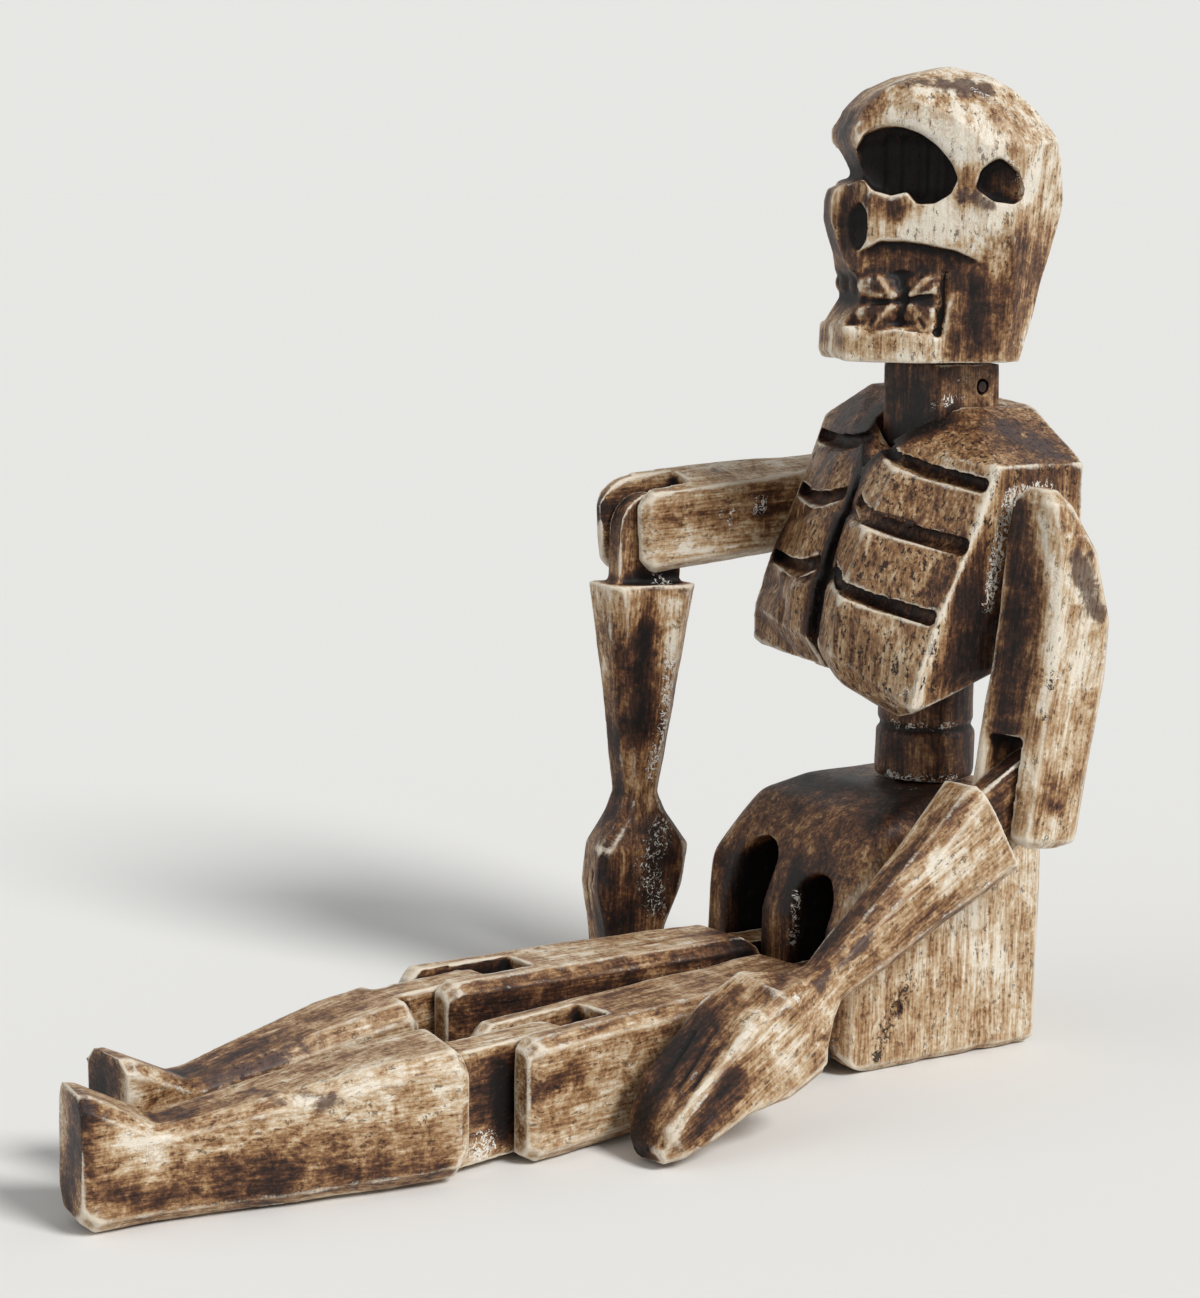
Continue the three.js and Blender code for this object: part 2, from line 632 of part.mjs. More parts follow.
function skull() {
  let body = sidePrism(skullSideOutline(), -FAR, FAR);
  body = body.intersect(frontPrism(skullFrontOutline(), -FAR, FAR));
  body = body.intersect(planPrism(skullPlanOutline(), -1, SKULL_HEIGHT + 1));
  body = shaveBoth(body, [13, -23, 59], [0.75, -0.6, 0.62]);
  body = shaveBoth(body, [16, 10, 59], [0.75, 0.5, 0.75]);
  body = shaveBoth(body, [15, 13.5, 10], [0.8, 0.7, -0.12]);
  for (const side of SIDES) {
    body = body.subtract(eyeSocket(side)).subtract(templeHole(side)).subtract(cheekHollow(side));
    body = body.subtract(mouth(side)).subtract(noseSide(side)).subtract(nostril(side));
  }
  for (const side of SIDES) body = body.add(teeth(side));
  const hole = barZ(NECK_TENON_RADIUS + PIN_FIT, -1, NECK_TENON_LENGTH + PEG_END_GAP);
  const piece = mesh('skull', moved(body, 0, SKULL_BACK, 0).subtract(hole), BONE);
  piece.position.set(0, NECK_BACK, NECK_TOP + PEG_END_GAP);
  return piece;
}

// Arms, drawn along -Y with their front edge up

// How far the fork's end may reach from the elbow pin and still pass the forearm's shoulders
function elbowReach(side) {
  const skew = Math.abs(Math.sin(FOREARM_SKEW[side] * DEGREE)) * (UPPER_ARM_THICKNESS / 2);
  return FOREARM_SHOULDER[side] - skew - FORK_PLAY;
}

// Shares of the pin distance along the arm, how much narrower it is in mm, shares of the half depth to its
// back and front, and how much further forward the front stands on the figure's right, in mm
const ARM_STATIONS = {
  left: [
    [-0.22, 4.5, 0.45, 0.95, 1], [-0.16, 1.5, 0.2, 1.05, 2], [0.02, 0, -0.6, 0.96, 3.6],
    [0.3, 0, -1.19, 0.88, 5], [0.54, 0, -1.26, 0.89, 5.6], [0.82, 0, -1.11, 0.98, 6],
  ],
  right: [
    [-0.23, 4.5, -0.19, 0.57, 0], [-0.17, 1.5, -0.62, 0.81, 0], [-0.05, 0, -0.9, 1.16, 0],
    [0.18, 0, -1, 1.17, 0], [0.45, 0, -1, 1.29, 0], [0.82, 0, -1, 1.38, 0],
  ],
};
const ARM_END_SECTION = { left: [-0.95, 1.05, 6], right: [-1, 1.38, 0] };

function upperArm(side) {
  const half = UPPER_ARM_THICKNESS / 2;
  const deep = UPPER_ARM_DEPTH / 2;
  const elbow = UPPER_ARM_LENGTH[side];
  const end = elbow + UPPER_ARM_END[side];
  const rise = OUTER_EDGE_RISE[side];
  const [back, front, slant] = ARM_END_SECTION[side];
  let body = limb([
    ...ARM_STATIONS[side].map(([share, less, low, high, lean]) =>
      [share * elbow, half - less, low * deep, high * deep, less > 0 ? 1.5 : 2.2, lean]),
    [end - 2.5, half, back * deep, front * deep, 2, slant],
    [end, half - 2, back * deep + 2, front * deep - 2, 1.5, slant],
  ]);
  if (rise > 0) {
    body = shave(body, [-sign[side] * half, 0, deep - 0.5], [-sign[side] * rise, 0, 2 * half]);
  }
  const slotDepth = UPPER_ARM_END[side] + ELBOW_TONGUE_RADIUS + 2;
  body = body.subtract(slot(ELBOW_SLOT_WIDTH, end - slotDepth, FAR));
  body = body.subtract(roundOff(elbowReach(side), elbow));
  body = body.subtract(limbPinHole(side, half, ELBOW_SLOT_WIDTH, elbow));
  const hole = LIMB_PIN_RADIUS + PIN_FIT;
  return mesh(`upper_arm_${side}`, body.subtract(barX(hole, -FAR, FAR)), BONE);
}

// Pins are driven from the outer side and stop inside the inner cheek
function pinEnds(side, half, slotWidth) {
  const inner = -(slotWidth / 2 + (half - slotWidth / 2) * 0.6);
  const outer = half - PIN_SUNK;
  return side === 'left' ? [inner, outer] : [-outer, -inner];
}

function limbPinHole(side, half, slotWidth, along) {
  const [x0, x1] = pinEnds(side, half, slotWidth);
  const ends = side === 'left' ? [x0 - PEG_END_GAP, FAR] : [-FAR, x1 + PEG_END_GAP];
  return barX(LIMB_PIN_RADIUS + PIN_FIT, ...ends, -along);
}

function limbPin(name, side, half, slotWidth) {
  return mesh(name, barX(LIMB_PIN_RADIUS, ...pinEnds(side, half, slotWidth)), DOWEL);
}

// The body of a forearm is skewed sideways from the tongue that holds it
function forearm(side) {
  const half = UPPER_ARM_THICKNESS / 2;
  const wide = FOREARM_WIDTH / 2;
  const wrist = WRIST_WIDTH / 2;
  const hand = HAND_WIDTH / 2;
  const thick = HAND_THICKNESS / 2;
  const from = FOREARM_SHOULDER[side];
  const reach = FOREARM_LENGTH[side] - from;
  const long = HAND_LENGTH[side];
  const slant = sign[side] * HAND_SLANT;
  const bulk = limb([
    [0, half - 0.5, 1 - wide, wide, 2],
    [3, half, 1 - wide, wide, 3.5],
    [24, half - 1, 1 - wide * 0.8, wide * 0.74, 3.5],
    [reach - 3, wrist, -wrist, wrist, 2.2],
    [reach + 2, wrist + 0.8, -wrist - 2, wrist + 1.5, 2.2],
    [reach + long * 0.2, thick - 0.5, -hand * 0.98, hand * 0.92, 2.5, slant],
    [reach + long * 0.4, thick, -hand * 0.81, hand * 0.95, 1.8, slant],
    [reach + long * 0.6, thick, -hand * 0.47, hand * 0.77, 1.6, slant],
    [reach + long * 0.78, thick, -hand * 0.36, hand * 0.69, 1.6, slant],
    [reach + long * 0.92, thick * 0.85, -hand * 0.28, hand * 0.45, 1.6, slant / 2],
    [reach + long, thick * 0.6, -hand * 0.15, hand * 0.13, 1.2],
  ]);
  const body = moved(bulk.rotate([0, 0, FOREARM_SKEW[side]]), 0, -from, 0);
  const held = tongue(ELBOW_SLOT_WIDTH - 2 * FORK_PLAY, ELBOW_TONGUE_RADIUS, from + 2);
  const hole = barX(LIMB_PIN_RADIUS + PIN_FIT, -FAR, FAR);
  return mesh(`forearm_${side}`, body.add(held).subtract(hole), BONE);
}

function shoulderPin(side) {
  const inner = -(UPPER_ARM_THICKNESS / 2 + SHOULDER_GAP + shoulderPinDepth);
  const outer = UPPER_ARM_THICKNESS / 2 - PIN_SUNK;
  const ends = side === 'left' ? [inner, outer] : [-outer, -inner];
  return mesh(`shoulder_pin_${side}`, barX(LIMB_PIN_RADIUS, ...ends), DOWEL);
}

// A group whose contents, drawn along -Y, point down from level by the given angle
function hinged(parent, x, y, z, down) {
  const group = new THREE.Group();
  group.position.set(x, y, z);
  group.rotation.x = down * DEGREE;
  parent.add(group);
  return group;
}

function addArm(parent, side) {
  const x = sign[side] * shoulderX;
  const arm = hinged(parent, x, SHOULDER_BACK, SHOULDER_HEIGHT, 90 - SHOULDER_SWING[side]);
  arm.add(upperArm(side), shoulderPin(side));
  const elbow = hinged(arm, 0, -UPPER_ARM_LENGTH[side], 0, -ELBOW_BEND[side]);
  const pin = limbPin(`elbow_pin_${side}`, side, UPPER_ARM_THICKNESS / 2, ELBOW_SLOT_WIDTH);
  elbow.add(forearm(side), pin);
}

// Legs, drawn along -Y

function kneeReach(side) {
  const skew = Math.abs(Math.sin(SHIN_SKEW[side] * DEGREE)) * (THIGH_WIDTH / 2 - 2);
  return SHIN_SHOULDER[side] - skew - FORK_PLAY;
}

function thigh(side) {
  const half = THIGH_WIDTH / 2;
  const deep = THIGH_HEIGHT / 2;
  const end = THIGH_LENGTH[side];
  const skew = Math.abs(Math.sin(LEG_TURN[side] * DEGREE));
  const start = hipReach + FORK_PLAY + skew * half;
  let body = limb([
    [start, half - 1, 1.5 - deep, deep - 3.5, 2],
    [start + 5, half - 0.5, 0.5 - deep, deep - 0.5, 2.5],
    [end * 0.55, half, -deep, deep, 3],
    [end - 3, half, -deep, deep, 2.5],
    [end, half - 1.5, 2 - deep, deep - 2.5, 2],
  ]);
  const width = HIP_SLOT_WIDTH - 2 * FORK_PLAY - 2 * skew * HIP_SETBACK;
  body = body.add(tongue(width, HIP_TONGUE_RADIUS, start + 4));
  const slotDepth = KNEE_SETBACK + KNEE_TONGUE_RADIUS + 1.5;
  body = body.subtract(slot(KNEE_SLOT_WIDTH, end - slotDepth, FAR));
  body = body.subtract(roundOff(kneeReach(side), end - KNEE_SETBACK));
  body = body.subtract(limbPinHole(side, half, KNEE_SLOT_WIDTH, end - KNEE_SETBACK));
  return mesh(`thigh_${side}`, body.subtract(barX(LIMB_PIN_RADIUS + PIN_FIT, -FAR, FAR)), BONE);
}

// The body of a shin is skewed sideways from the tongue that holds it
function shin(side) {
  const half = THIGH_WIDTH / 2;
  const from = SHIN_SHOULDER[side];
  const sole = SHIN_LENGTH[side] - from;
  const ankle = sole - FOOT_LENGTH;
  const thin = ANKLE_WIDTH / 2;
  const foot = FOOT_WIDTH / 2;
  const low = -SHIN_DROP;
  const high = SHIN_RISE[side];
  const bulk = limb([
    [0, half - 2, low + 3, high - 3.5, 3],
    [3, half, low + 0.5, high - 0.5, 3.5],
    [17, half, low, high - 1.5, 3.5],
    [ankle - 2, thin, low, ANKLE_RISE, 2.5],
    [ankle + 2, thin, low, ANKLE_RISE, 2.5],
    [sole - 3, foot, low, FOOT_RISE - 0.5, 3],
    [sole, foot - 0.8, low + 2.5, FOOT_RISE, 3],
  ]);
  const body = moved(bulk.rotate([0, 0, SHIN_SKEW[side]]), 0, -from, 0);
  const width = KNEE_SLOT_WIDTH - 2 * FORK_PLAY;
  const held = tongue(width, KNEE_TONGUE_RADIUS, from + 3);
  const hole = barX(LIMB_PIN_RADIUS + PIN_FIT, -FAR, FAR);
  return mesh(`shin_${side}`, body.add(held).subtract(hole), BONE);
}

function hipPin(side) {
  return mesh(`hip_pin_${side}`, hipBar(side, LIMB_PIN_RADIUS, 0), DOWEL);
}

// The shin's fall is worked out so that its heel lies on the floor
function shinFall(side) {
  const kneeAlong = THIGH_LENGTH[side] - KNEE_SETBACK;
  const kneeHeight = HIP_HEIGHT + kneeAlong * Math.sin(THIGH_RISE[side] * DEGREE);
  return Math.asin((kneeHeight - SHIN_DROP - FLOOR_GAP) / SHIN_LENGTH[side]) / DEGREE;
}

function addLeg(parent, side) {
  const turned = new THREE.Group();
  turned.position.set(hipX(side), hipY, HIP_HEIGHT);
  turned.rotation.z = LEG_TURN[side] * DEGREE;
  parent.add(turned);
  turned.add(hipPin(side));
  const upper = hinged(turned, 0, 0, 0, -THIGH_RISE[side]);
  upper.add(thigh(side));
  const knee = hinged(upper, 0, KNEE_SETBACK - THIGH_LENGTH[side], 0, THIGH_RISE[side] + shinFall(side));
  knee.add(shin(side), limbPin(`knee_pin_${side}`, side, THIGH_WIDTH / 2, KNEE_SLOT_WIDTH));
}

// The whole figure

const figure = new THREE.Group();
figure.add(pelvis(), waistPeg());
for (const side of SIDES) addLeg(figure, side);

const trunk = new THREE.Group();
trunk.position.set(0, WAIST_BACK, 0);
trunk.rotation.z = CHEST_TURN * DEGREE;
figure.add(trunk);
trunk.add(chest());
addNeck(trunk);
for (const side of SIDES) addArm(trunk, side);

const head = skull();
head.rotation.z = (HEAD_TURN - CHEST_TURN) * DEGREE;
trunk.add(head);

export default figure;
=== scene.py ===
"""Carved wooden skeleton puppet: the carved and painted pieces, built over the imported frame."""

import json
import math

import bmesh
import bpy
import numpy as np
from bpy.props import FloatProperty, FloatVectorProperty, IntProperty, PointerProperty
from mathutils import Matrix, Vector
from mathutils.bvhtree import BVHTree


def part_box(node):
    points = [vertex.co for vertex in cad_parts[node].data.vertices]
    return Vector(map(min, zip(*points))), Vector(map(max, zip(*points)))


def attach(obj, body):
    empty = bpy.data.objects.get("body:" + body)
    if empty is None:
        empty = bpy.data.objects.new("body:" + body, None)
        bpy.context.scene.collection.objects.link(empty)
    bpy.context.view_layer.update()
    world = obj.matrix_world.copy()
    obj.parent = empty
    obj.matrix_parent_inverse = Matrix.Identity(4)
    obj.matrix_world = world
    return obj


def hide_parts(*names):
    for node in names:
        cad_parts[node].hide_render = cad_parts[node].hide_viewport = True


bl_info = {
    "name": "Carved skeleton puppet",
    "version": (1, 0, 0),
    "blender": (4, 5, 0),
    "location": "3D View > Sidebar > Puppet",
    "description": "Carved and antiqued wooden pieces over the frame of a jointed skeleton puppet",
    "category": "Object",
}

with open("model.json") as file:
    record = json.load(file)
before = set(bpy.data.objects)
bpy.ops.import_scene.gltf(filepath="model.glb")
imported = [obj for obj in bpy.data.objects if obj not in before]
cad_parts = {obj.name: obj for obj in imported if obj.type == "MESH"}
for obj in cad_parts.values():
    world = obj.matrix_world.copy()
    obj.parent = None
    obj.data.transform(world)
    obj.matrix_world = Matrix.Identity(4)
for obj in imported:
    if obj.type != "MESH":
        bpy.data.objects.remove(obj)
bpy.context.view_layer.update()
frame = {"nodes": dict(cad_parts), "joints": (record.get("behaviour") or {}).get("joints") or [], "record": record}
BODIES = frame["record"]["behaviour"]["bodies"]
BODY_OF = {node: body for body, nodes in BODIES.items() for node in nodes}
JOINTS = {joint["name"]: joint for joint in frame["joints"]}
SIDES = ("left", "right")
UPRIGHT = (0, 0, 1)

MM = 0.001
MERGE = 0.001 * MM
PIN_SUNK = 0.6 * MM
FILLER_DEPTH = 1.8 * MM
FILLER_GAP = 0.5 * MM
FILLER_SIDES = 20
BAR_SIDES = 16

# Glaze round each filler, with its radius in mm
BLOTCH_RADIUS = 3.4
BLOTCH_GLAZE = 0.3

# Grain of the wood and size of the tool marks
FIBRE_LENGTH = 12 * MM
PIT_LENGTH = 2.6 * MM
SEED_STEP = (0.0137, 0.0071, 0.0193)
WAVE_SIZE = 17 * MM
GOUGE_SIZE = 11 * MM

# Smoothing passes that wear an edge round, and that find narrow and wide hollows
SOFT_PASSES = 90
NEAR_PASSES = 10
WIDE_PASSES = 80

# How far the passes move a full hollow and a bare edge, in mm, and the most that either counts
NEAR_HOLLOW = 0.3
WIDE_HOLLOW = 0.8
NEAR_EDGE = 0.35
WIDE_EDGE = 0.75
MOST_SUNK = 1.2
MOST = 1.3


def srgb(code):
    """Linear colour of a six-figure hex code."""
    parts = [int(code[i:i + 2], 16) / 255 for i in (0, 2, 4)]
    return tuple(c / 12.92 if c < 0.04045 else ((c + 0.055) / 1.055) ** 2.4 for c in parts)


def colour(name, description, code):
    return FloatVectorProperty(name=name, description=description, subtype="COLOR", size=3,
                               min=0, max=1, default=srgb(code))


class PuppetSizes(bpy.types.PropertyGroup):
    """Sizes of the carving"""
    grid: FloatProperty(name="Grid", description="Grid that the carved pieces are rebuilt on",
                        default=0.6 * MM, min=0.3 * MM, unit="LENGTH", precision=5)
    face_grid: FloatProperty(name="Face grid", description="Finer grid of the skull",
                             default=0.5 * MM, min=0.3 * MM, unit="LENGTH", precision=5)
    rounding: IntProperty(name="Rounding", description="Passes that wear the edges round",
                          default=4, min=0)
    wave: FloatProperty(name="Wave", description="Depth of the uneven hand-cut faces",
                        default=0.5 * MM, min=0, unit="LENGTH", precision=5)
    gouge: FloatProperty(name="Gouge", description="Depth of the single tool marks",
                         default=0.3 * MM, min=0, unit="LENGTH", precision=5)
    plug: FloatProperty(name="Plug", description="Radius of the filler over a pin's end",
                        default=2.7 * MM, min=2.2 * MM, unit="LENGTH", precision=5)
    floor: FloatProperty(name="Floor", description="Width of the floor",
                         default=40.0, min=1, unit="LENGTH")


class PuppetColours(bpy.types.PropertyGroup):
    """Colours of the antiqued paint, from the worn edges to the deepest hollows"""
    chalk: colour("Chalk", "White of the chips and the filler", "eae6dc")
    bone: colour("Bone", "Worn paint on the edges", "e2d7c4")
    cream: colour("Cream", "Paint on the open faces", "c0a684")
    tan: colour("Tan", "Thin glaze", "936e49")
    walnut: colour("Walnut", "Brown glaze", "5d3c26")
    umber: colour("Umber", "Glaze that has gathered", "321d14")
    soot: colour("Soot", "Bottom of the hollows", "0d0807")
    plum: colour("Plum", "Purplish smears of old varnish", "463633")
    floor: colour("Floor", "Pale floor", "ecebe8")


# Shader maths

class Socket:
    """A value in a material, with arithmetic that adds Math nodes."""

    def __init__(self, shader, socket):
        self.shader = shader
        self.socket = socket

    def math(self, operation, *values):
        return self.shader.node("ShaderNodeMath", {"operation": operation}, *values)

    def __add__(self, other):
        return self.math("ADD", self, other)

    def __sub__(self, other):
        return self.math("SUBTRACT", self, other)

    def __rsub__(self, other):
        return self.math("SUBTRACT", other, self)

    def __mul__(self, other):
        return self.math("MULTIPLY", self, other)

    __radd__ = __add__

    def clamp(self):
        return self.shader.node("ShaderNodeClamp", {}, self)

    def step(self, low, high):
        """0 below low, 1 above high, and smooth between."""
        settings = {"interpolation_type": "SMOOTHSTEP"}
        return self.shader.node("ShaderNodeMapRange", settings, self, low, high, 0.0, 1.0)


class Shader:
    """Adds nodes to one material."""

    def __init__(self, name):
        self.material = bpy.data.materials.new(name)
        self.material.use_nodes = True
        self.tree = self.material.node_tree
        self.tree.nodes.clear()

    def node(self, kind, settings, *values, output=0, **named):
        """A node with its settings, then the values or links of its sockets, by place or by name."""
        node = self.tree.nodes.new(kind)
        for name, value in settings.items():
            setattr(node, name, value)
        for key, value in list(enumerate(values)) + list(named.items()):
            target = node.inputs[key.replace("_", " ") if isinstance(key, str) else key]
            if isinstance(value, Socket):
                self.tree.links.new(value.socket, target)
            else:
                target.default_value = value
        return Socket(self, node.outputs[output]) if node.outputs else None

    def attribute(self, name):
        return self.node("ShaderNodeAttribute", {"attribute_name": name}, output="Fac")

    def noise(self, place, scale, detail=3.0, roughness=0.55, distortion=0.0):
        return self.node("ShaderNodeTexNoise", {}, Vector=place, Scale=scale, Detail=detail,
                         Roughness=roughness, Distortion=distortion)

    def mix(self, factor, first, second):
        """Goes from one colour to another."""
        node = self.tree.nodes.new("ShaderNodeMix")
        node.data_type = "RGBA"
        for place, value in ((0, factor), (6, first), (7, second)):
            if isinstance(value, Socket):
                self.tree.links.new(value.socket, node.inputs[place])
            else:
                node.inputs[place].default_value = value
        return Socket(self, node.outputs[2])

    def ramp(self, value, stops):
        """Colours a value by stops, each a place and a colour."""
        node = self.tree.nodes.new("ShaderNodeValToRGB")
        elements = node.color_ramp.elements
        while len(elements) < len(stops):
            elements.new(1.0)
        for element, (place, tint) in zip(elements, stops):
            element.position = place
            element.color = (*tint, 1.0)
        self.tree.links.new(value.socket, node.inputs[0])
        return Socket(self, node.outputs[0])

    def finish(self, bump, **inputs):
        """Principled surface over a bump, with fixed values set on its own sockets."""
        height, strength, distance = bump
        normal = self.node("ShaderNodeBump", {}, Strength=strength, Distance=distance, Height=height)
        surface = self.node("ShaderNodeBsdfPrincipled", {}, Normal=normal, **inputs)
        self.node("ShaderNodeOutputMaterial", {}, surface)
        return self.material


def antiqued(name, colours, grain, seed, pores, mottled):
    """Bone paint under a brown glaze that has gathered in the hollows and worn off the edges, plus painted shade
    and light on some faces and strokes.
    """
    s = Shader(name)
    place = s.node("ShaderNodeTexCoord", {}, output="Object")
    turn = Vector(grain).to_track_quat("Z", "Y").to_euler()
    offset = tuple(seed * step for step in SEED_STEP)
    texture = {"vector_type": "TEXTURE"}
    seeded = s.node("ShaderNodeMapping", texture, place, offset, (0, 0, 0), (MM, MM, MM))
    fibre = s.node("ShaderNodeMapping", texture, place, offset, turn, (MM, MM, FIBRE_LENGTH))
    dash = s.node("ShaderNodeMapping", texture, place, offset, turn, (MM, MM, PIT_LENGTH))
    mottle = s.noise(seeded, scale=0.17, detail=6.0, roughness=0.68, distortion=0.7)
    patch = s.noise(seeded, scale=0.055, distortion=0.4)
    fine = s.noise(seeded, scale=1.0, detail=4.0, roughness=0.7)
    streak = s.noise(fibre, scale=0.33, detail=4.0, roughness=0.62, distortion=0.3)
    line = s.noise(fibre, scale=1.5, roughness=0.6)
    rare = 0.635 - 0.05 * pores
    pit = s.noise(dash, scale=0.9, detail=2.0, roughness=0.6).step(rare, rare + 0.05)
    vein = s.noise(seeded, scale=0.5, roughness=0.6, distortion=1.0) - 0.5
    crackle = 1.0 - (vein * vein).step(0.0003, 0.004)
    hollow = s.attribute("hollow")
    wear = s.attribute("wear")
    glaze_and_painted_shade = s.attribute("glaze_and_painted_shade")
    chalk = s.attribute("chalk")
    plum = s.attribute("plum")
    fleck = s.attribute("fleck")

    # From bare paint at 0 to the thickest glaze and painted shade at 1
    amount = glaze_and_painted_shade + hollow * 0.9
    amount = amount + (mottle - 0.5) * (1.1 * mottled) + (patch - 0.5) * (0.65 * mottled)
    amount = amount + (fine - 0.5) * 0.64 + (streak - 0.5) * 0.85 + (line - 0.5) * 0.72
    tint = s.ramp(amount.clamp(), [
        (0.0, colours.bone), (0.2, colours.cream), (0.4, colours.tan),
        (0.58, colours.walnut), (0.77, colours.umber), (1.0, colours.soot),
    ])
    pale = 1.0 - amount.step(0.05, 0.3)
    tint = s.mix(pale * fine.step(0.46, 0.66) * 0.6, tint, (*colours.chalk, 1.0))
    tint = s.mix(pale * crackle * streak.step(0.4, 0.6) * 0.4, tint, (*colours.tan, 1.0))
    smear = (plum + (mottle - 0.5) * 1.5 + (streak - 0.5) * 0.9 - 0.1).step(0.3, 0.62)
    tint = s.mix(smear * 0.8, tint, (*colours.plum, 1.0))
    open_pit = pit * fine.step(0.42, 0.55) * pores
    tint = s.mix(open_pit * 0.85, tint, (*colours.umber, 1.0))
    kept = hollow * 0.5 + smear * 0.3 + glaze_and_painted_shade.step(0.45, 0.9) * 0.7
    worn = (wear + (fine - 0.5) * 0.8 + (mottle - 0.5) * 0.8 - kept).step(0.27, 0.66)
    tint = s.mix(worn * 0.85, tint, (*colours.bone, 1.0))
    spot = (fleck + (fine - 0.5) * 1.5 + (crackle - 0.5) * 0.35).step(0.52, 0.64)
    spot = spot * fleck.step(0.1, 0.3)
    tint = s.mix(spot * 0.9, tint, (*colours.soot, 1.0))
    chip = (chalk + (fine - 0.5) * 1.3 + (crackle - 0.4) * 0.6).step(0.6, 0.74)
    chip = chip * chalk.step(0.08, 0.3)
    tint = s.mix(chip * 0.9, tint, (*colours.chalk, 1.0))

    rough = 0.44 + fine * 0.16 + hollow.clamp() * 0.2 + chip * 0.2
    coat = 0.2 - amount.clamp() * 0.14
    height = fine * 0.45 + line * 0.35 + streak * 0.25 - open_pit * 0.9
    height = height + chip * 0.4 - spot * 0.4 - pale * crackle * 0.15
    return s.finish((height, 0.8, 0.32 * MM), Base_Color=tint, Roughness=rough, Coat_Weight=coat,
                    Specular_IOR_Level=0.25, Coat_Roughness=0.36)


def dowelled(colours):
    """Dull end grain of the pins."""
    s = Shader("dowel_wood")
    place = s.node("ShaderNodeTexCoord", {}, output="Object")
    scaled = s.node("ShaderNodeMapping", {}, place, (0, 0, 0), (0, 0, 0), (1 / MM, 1 / MM, 1 / MM))
    ring = s.noise(scaled, scale=1.4, detail=4.0, roughness=0.6, distortion=1.0)
    tint = s.ramp(ring, [(0.3, colours.soot), (0.55, colours.umber), (0.75, colours.walnut)])
    return s.finish((ring, 0.5, 0.2 * MM), Base_Color=tint, Roughness=0.55 + ring * 0.2)


# Carving

def joint_place(name):
    return Vector(JOINTS[name]["pos_m"])


def grain_along(start, node):
    """Direction from a joint to the middle of a piece, which its grain follows."""
    low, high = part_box(node)
    return ((low + high) / 2 - joint_place(start)).normalized()


def new_object(name, data):
    made = bpy.data.objects.new(name, data)
    bpy.context.scene.collection.objects.link(made)
    return made


def copied(node, name):
    """A merged copy of a node of the frame."""
    bm = bmesh.new()
    bm.from_mesh(frame["nodes"][node].data)
    bmesh.ops.remove_doubles(bm, verts=bm.verts, dist=MERGE)
    mesh = bpy.data.meshes.new(name)
    bm.to_mesh(mesh)
    bm.free()
    return new_object(name, mesh)


def evaluated(piece):
    """A new mesh with the result of a piece's modifiers."""
    graph = bpy.context.evaluated_depsgraph_get()
    return bpy.data.meshes.new_from_object(piece.evaluated_get(graph))


def settle(piece):
    """Puts the result of a piece's modifiers into its mesh."""
    mesh = evaluated(piece)
    old = piece.data
    piece.modifiers.clear()
    piece.data = mesh
    mesh.name = piece.name
    bpy.data.meshes.remove(old)


def modify(piece, kind, **settings):
    modifier = piece.modifiers.new(kind.lower(), kind)
    for name, value in settings.items():
        setattr(modifier, name, value)


def tool_texture(name, kind, size, **settings):
    texture = bpy.data.textures.get(name) or bpy.data.textures.new(name, kind)
    texture.noise_scale = size
    for key, value in settings.items():
        setattr(texture, key, value)
    return texture


def join(piece, bm):
    """Adds a closed shape to a piece, to be melted into it when it is rebuilt."""
    bm.from_mesh(piece.data)
    bm.to_mesh(piece.data)
    bm.free()


def plug_pin(piece, pin, joint, sizes):
    """Fills a pin hole's mouth flush with the wood, and gives the middle of the filler in mm."""
    axis = Vector(JOINTS[joint]["axis"])
    place = joint_place(joint)
    along = [(v.co - place).dot(axis) for v in frame["nodes"][pin].data.vertices]
    centre = place + axis * (min(along) - PIN_SUNK + FILLER_DEPTH / 2)
    bm = bmesh.new()
    turn = axis.to_track_quat("Z", "Y").to_matrix().to_4x4()
    bmesh.ops.create_cone(bm, cap_ends=True, segments=FILLER_SIDES, radius1=sizes.plug,
                          radius2=sizes.plug, depth=FILLER_DEPTH,
                          matrix=Matrix.Translation(centre) @ turn)
    join(piece, bm)
    return tuple((centre - axis * (FILLER_DEPTH / 2)) / MM)


def sink_end(mesh, joint):
    """Draws a pin's outer end back, so that it stops below its filler."""
    axis = Vector(JOINTS[joint]["axis"])
    along = [v.co.dot(axis) for v in mesh.vertices]
    middle = (min(along) + max(along)) / 2
    for vertex, place in zip(mesh.vertices, along):
        if place < middle:
            vertex.co += axis * (FILLER_DEPTH - PIN_SUNK + FILLER_GAP)


def swell(piece, strokes):
    """Adds round bars along the strokes' paths, to be melted into the piece when it is rebuilt."""
    for path, width, _ in strokes:
        points = [Vector(point) * MM for point in path]
        radius = width * MM
        bm = bmesh.new()
        for point in points:
            bmesh.ops.create_icosphere(bm, subdivisions=2, radius=radius,
                                       matrix=Matrix.Translation(point))
        for start, end in zip(points, points[1:]):
            turn = (end - start).to_track_quat("Z", "Y").to_matrix().to_4x4()
            bmesh.ops.create_cone(bm, cap_ends=True, segments=BAR_SIDES, radius1=radius, radius2=radius,
                                  depth=(end - start).length,
                                  matrix=Matrix.Translation((start + end) / 2) @ turn)
        join(piece, bm)


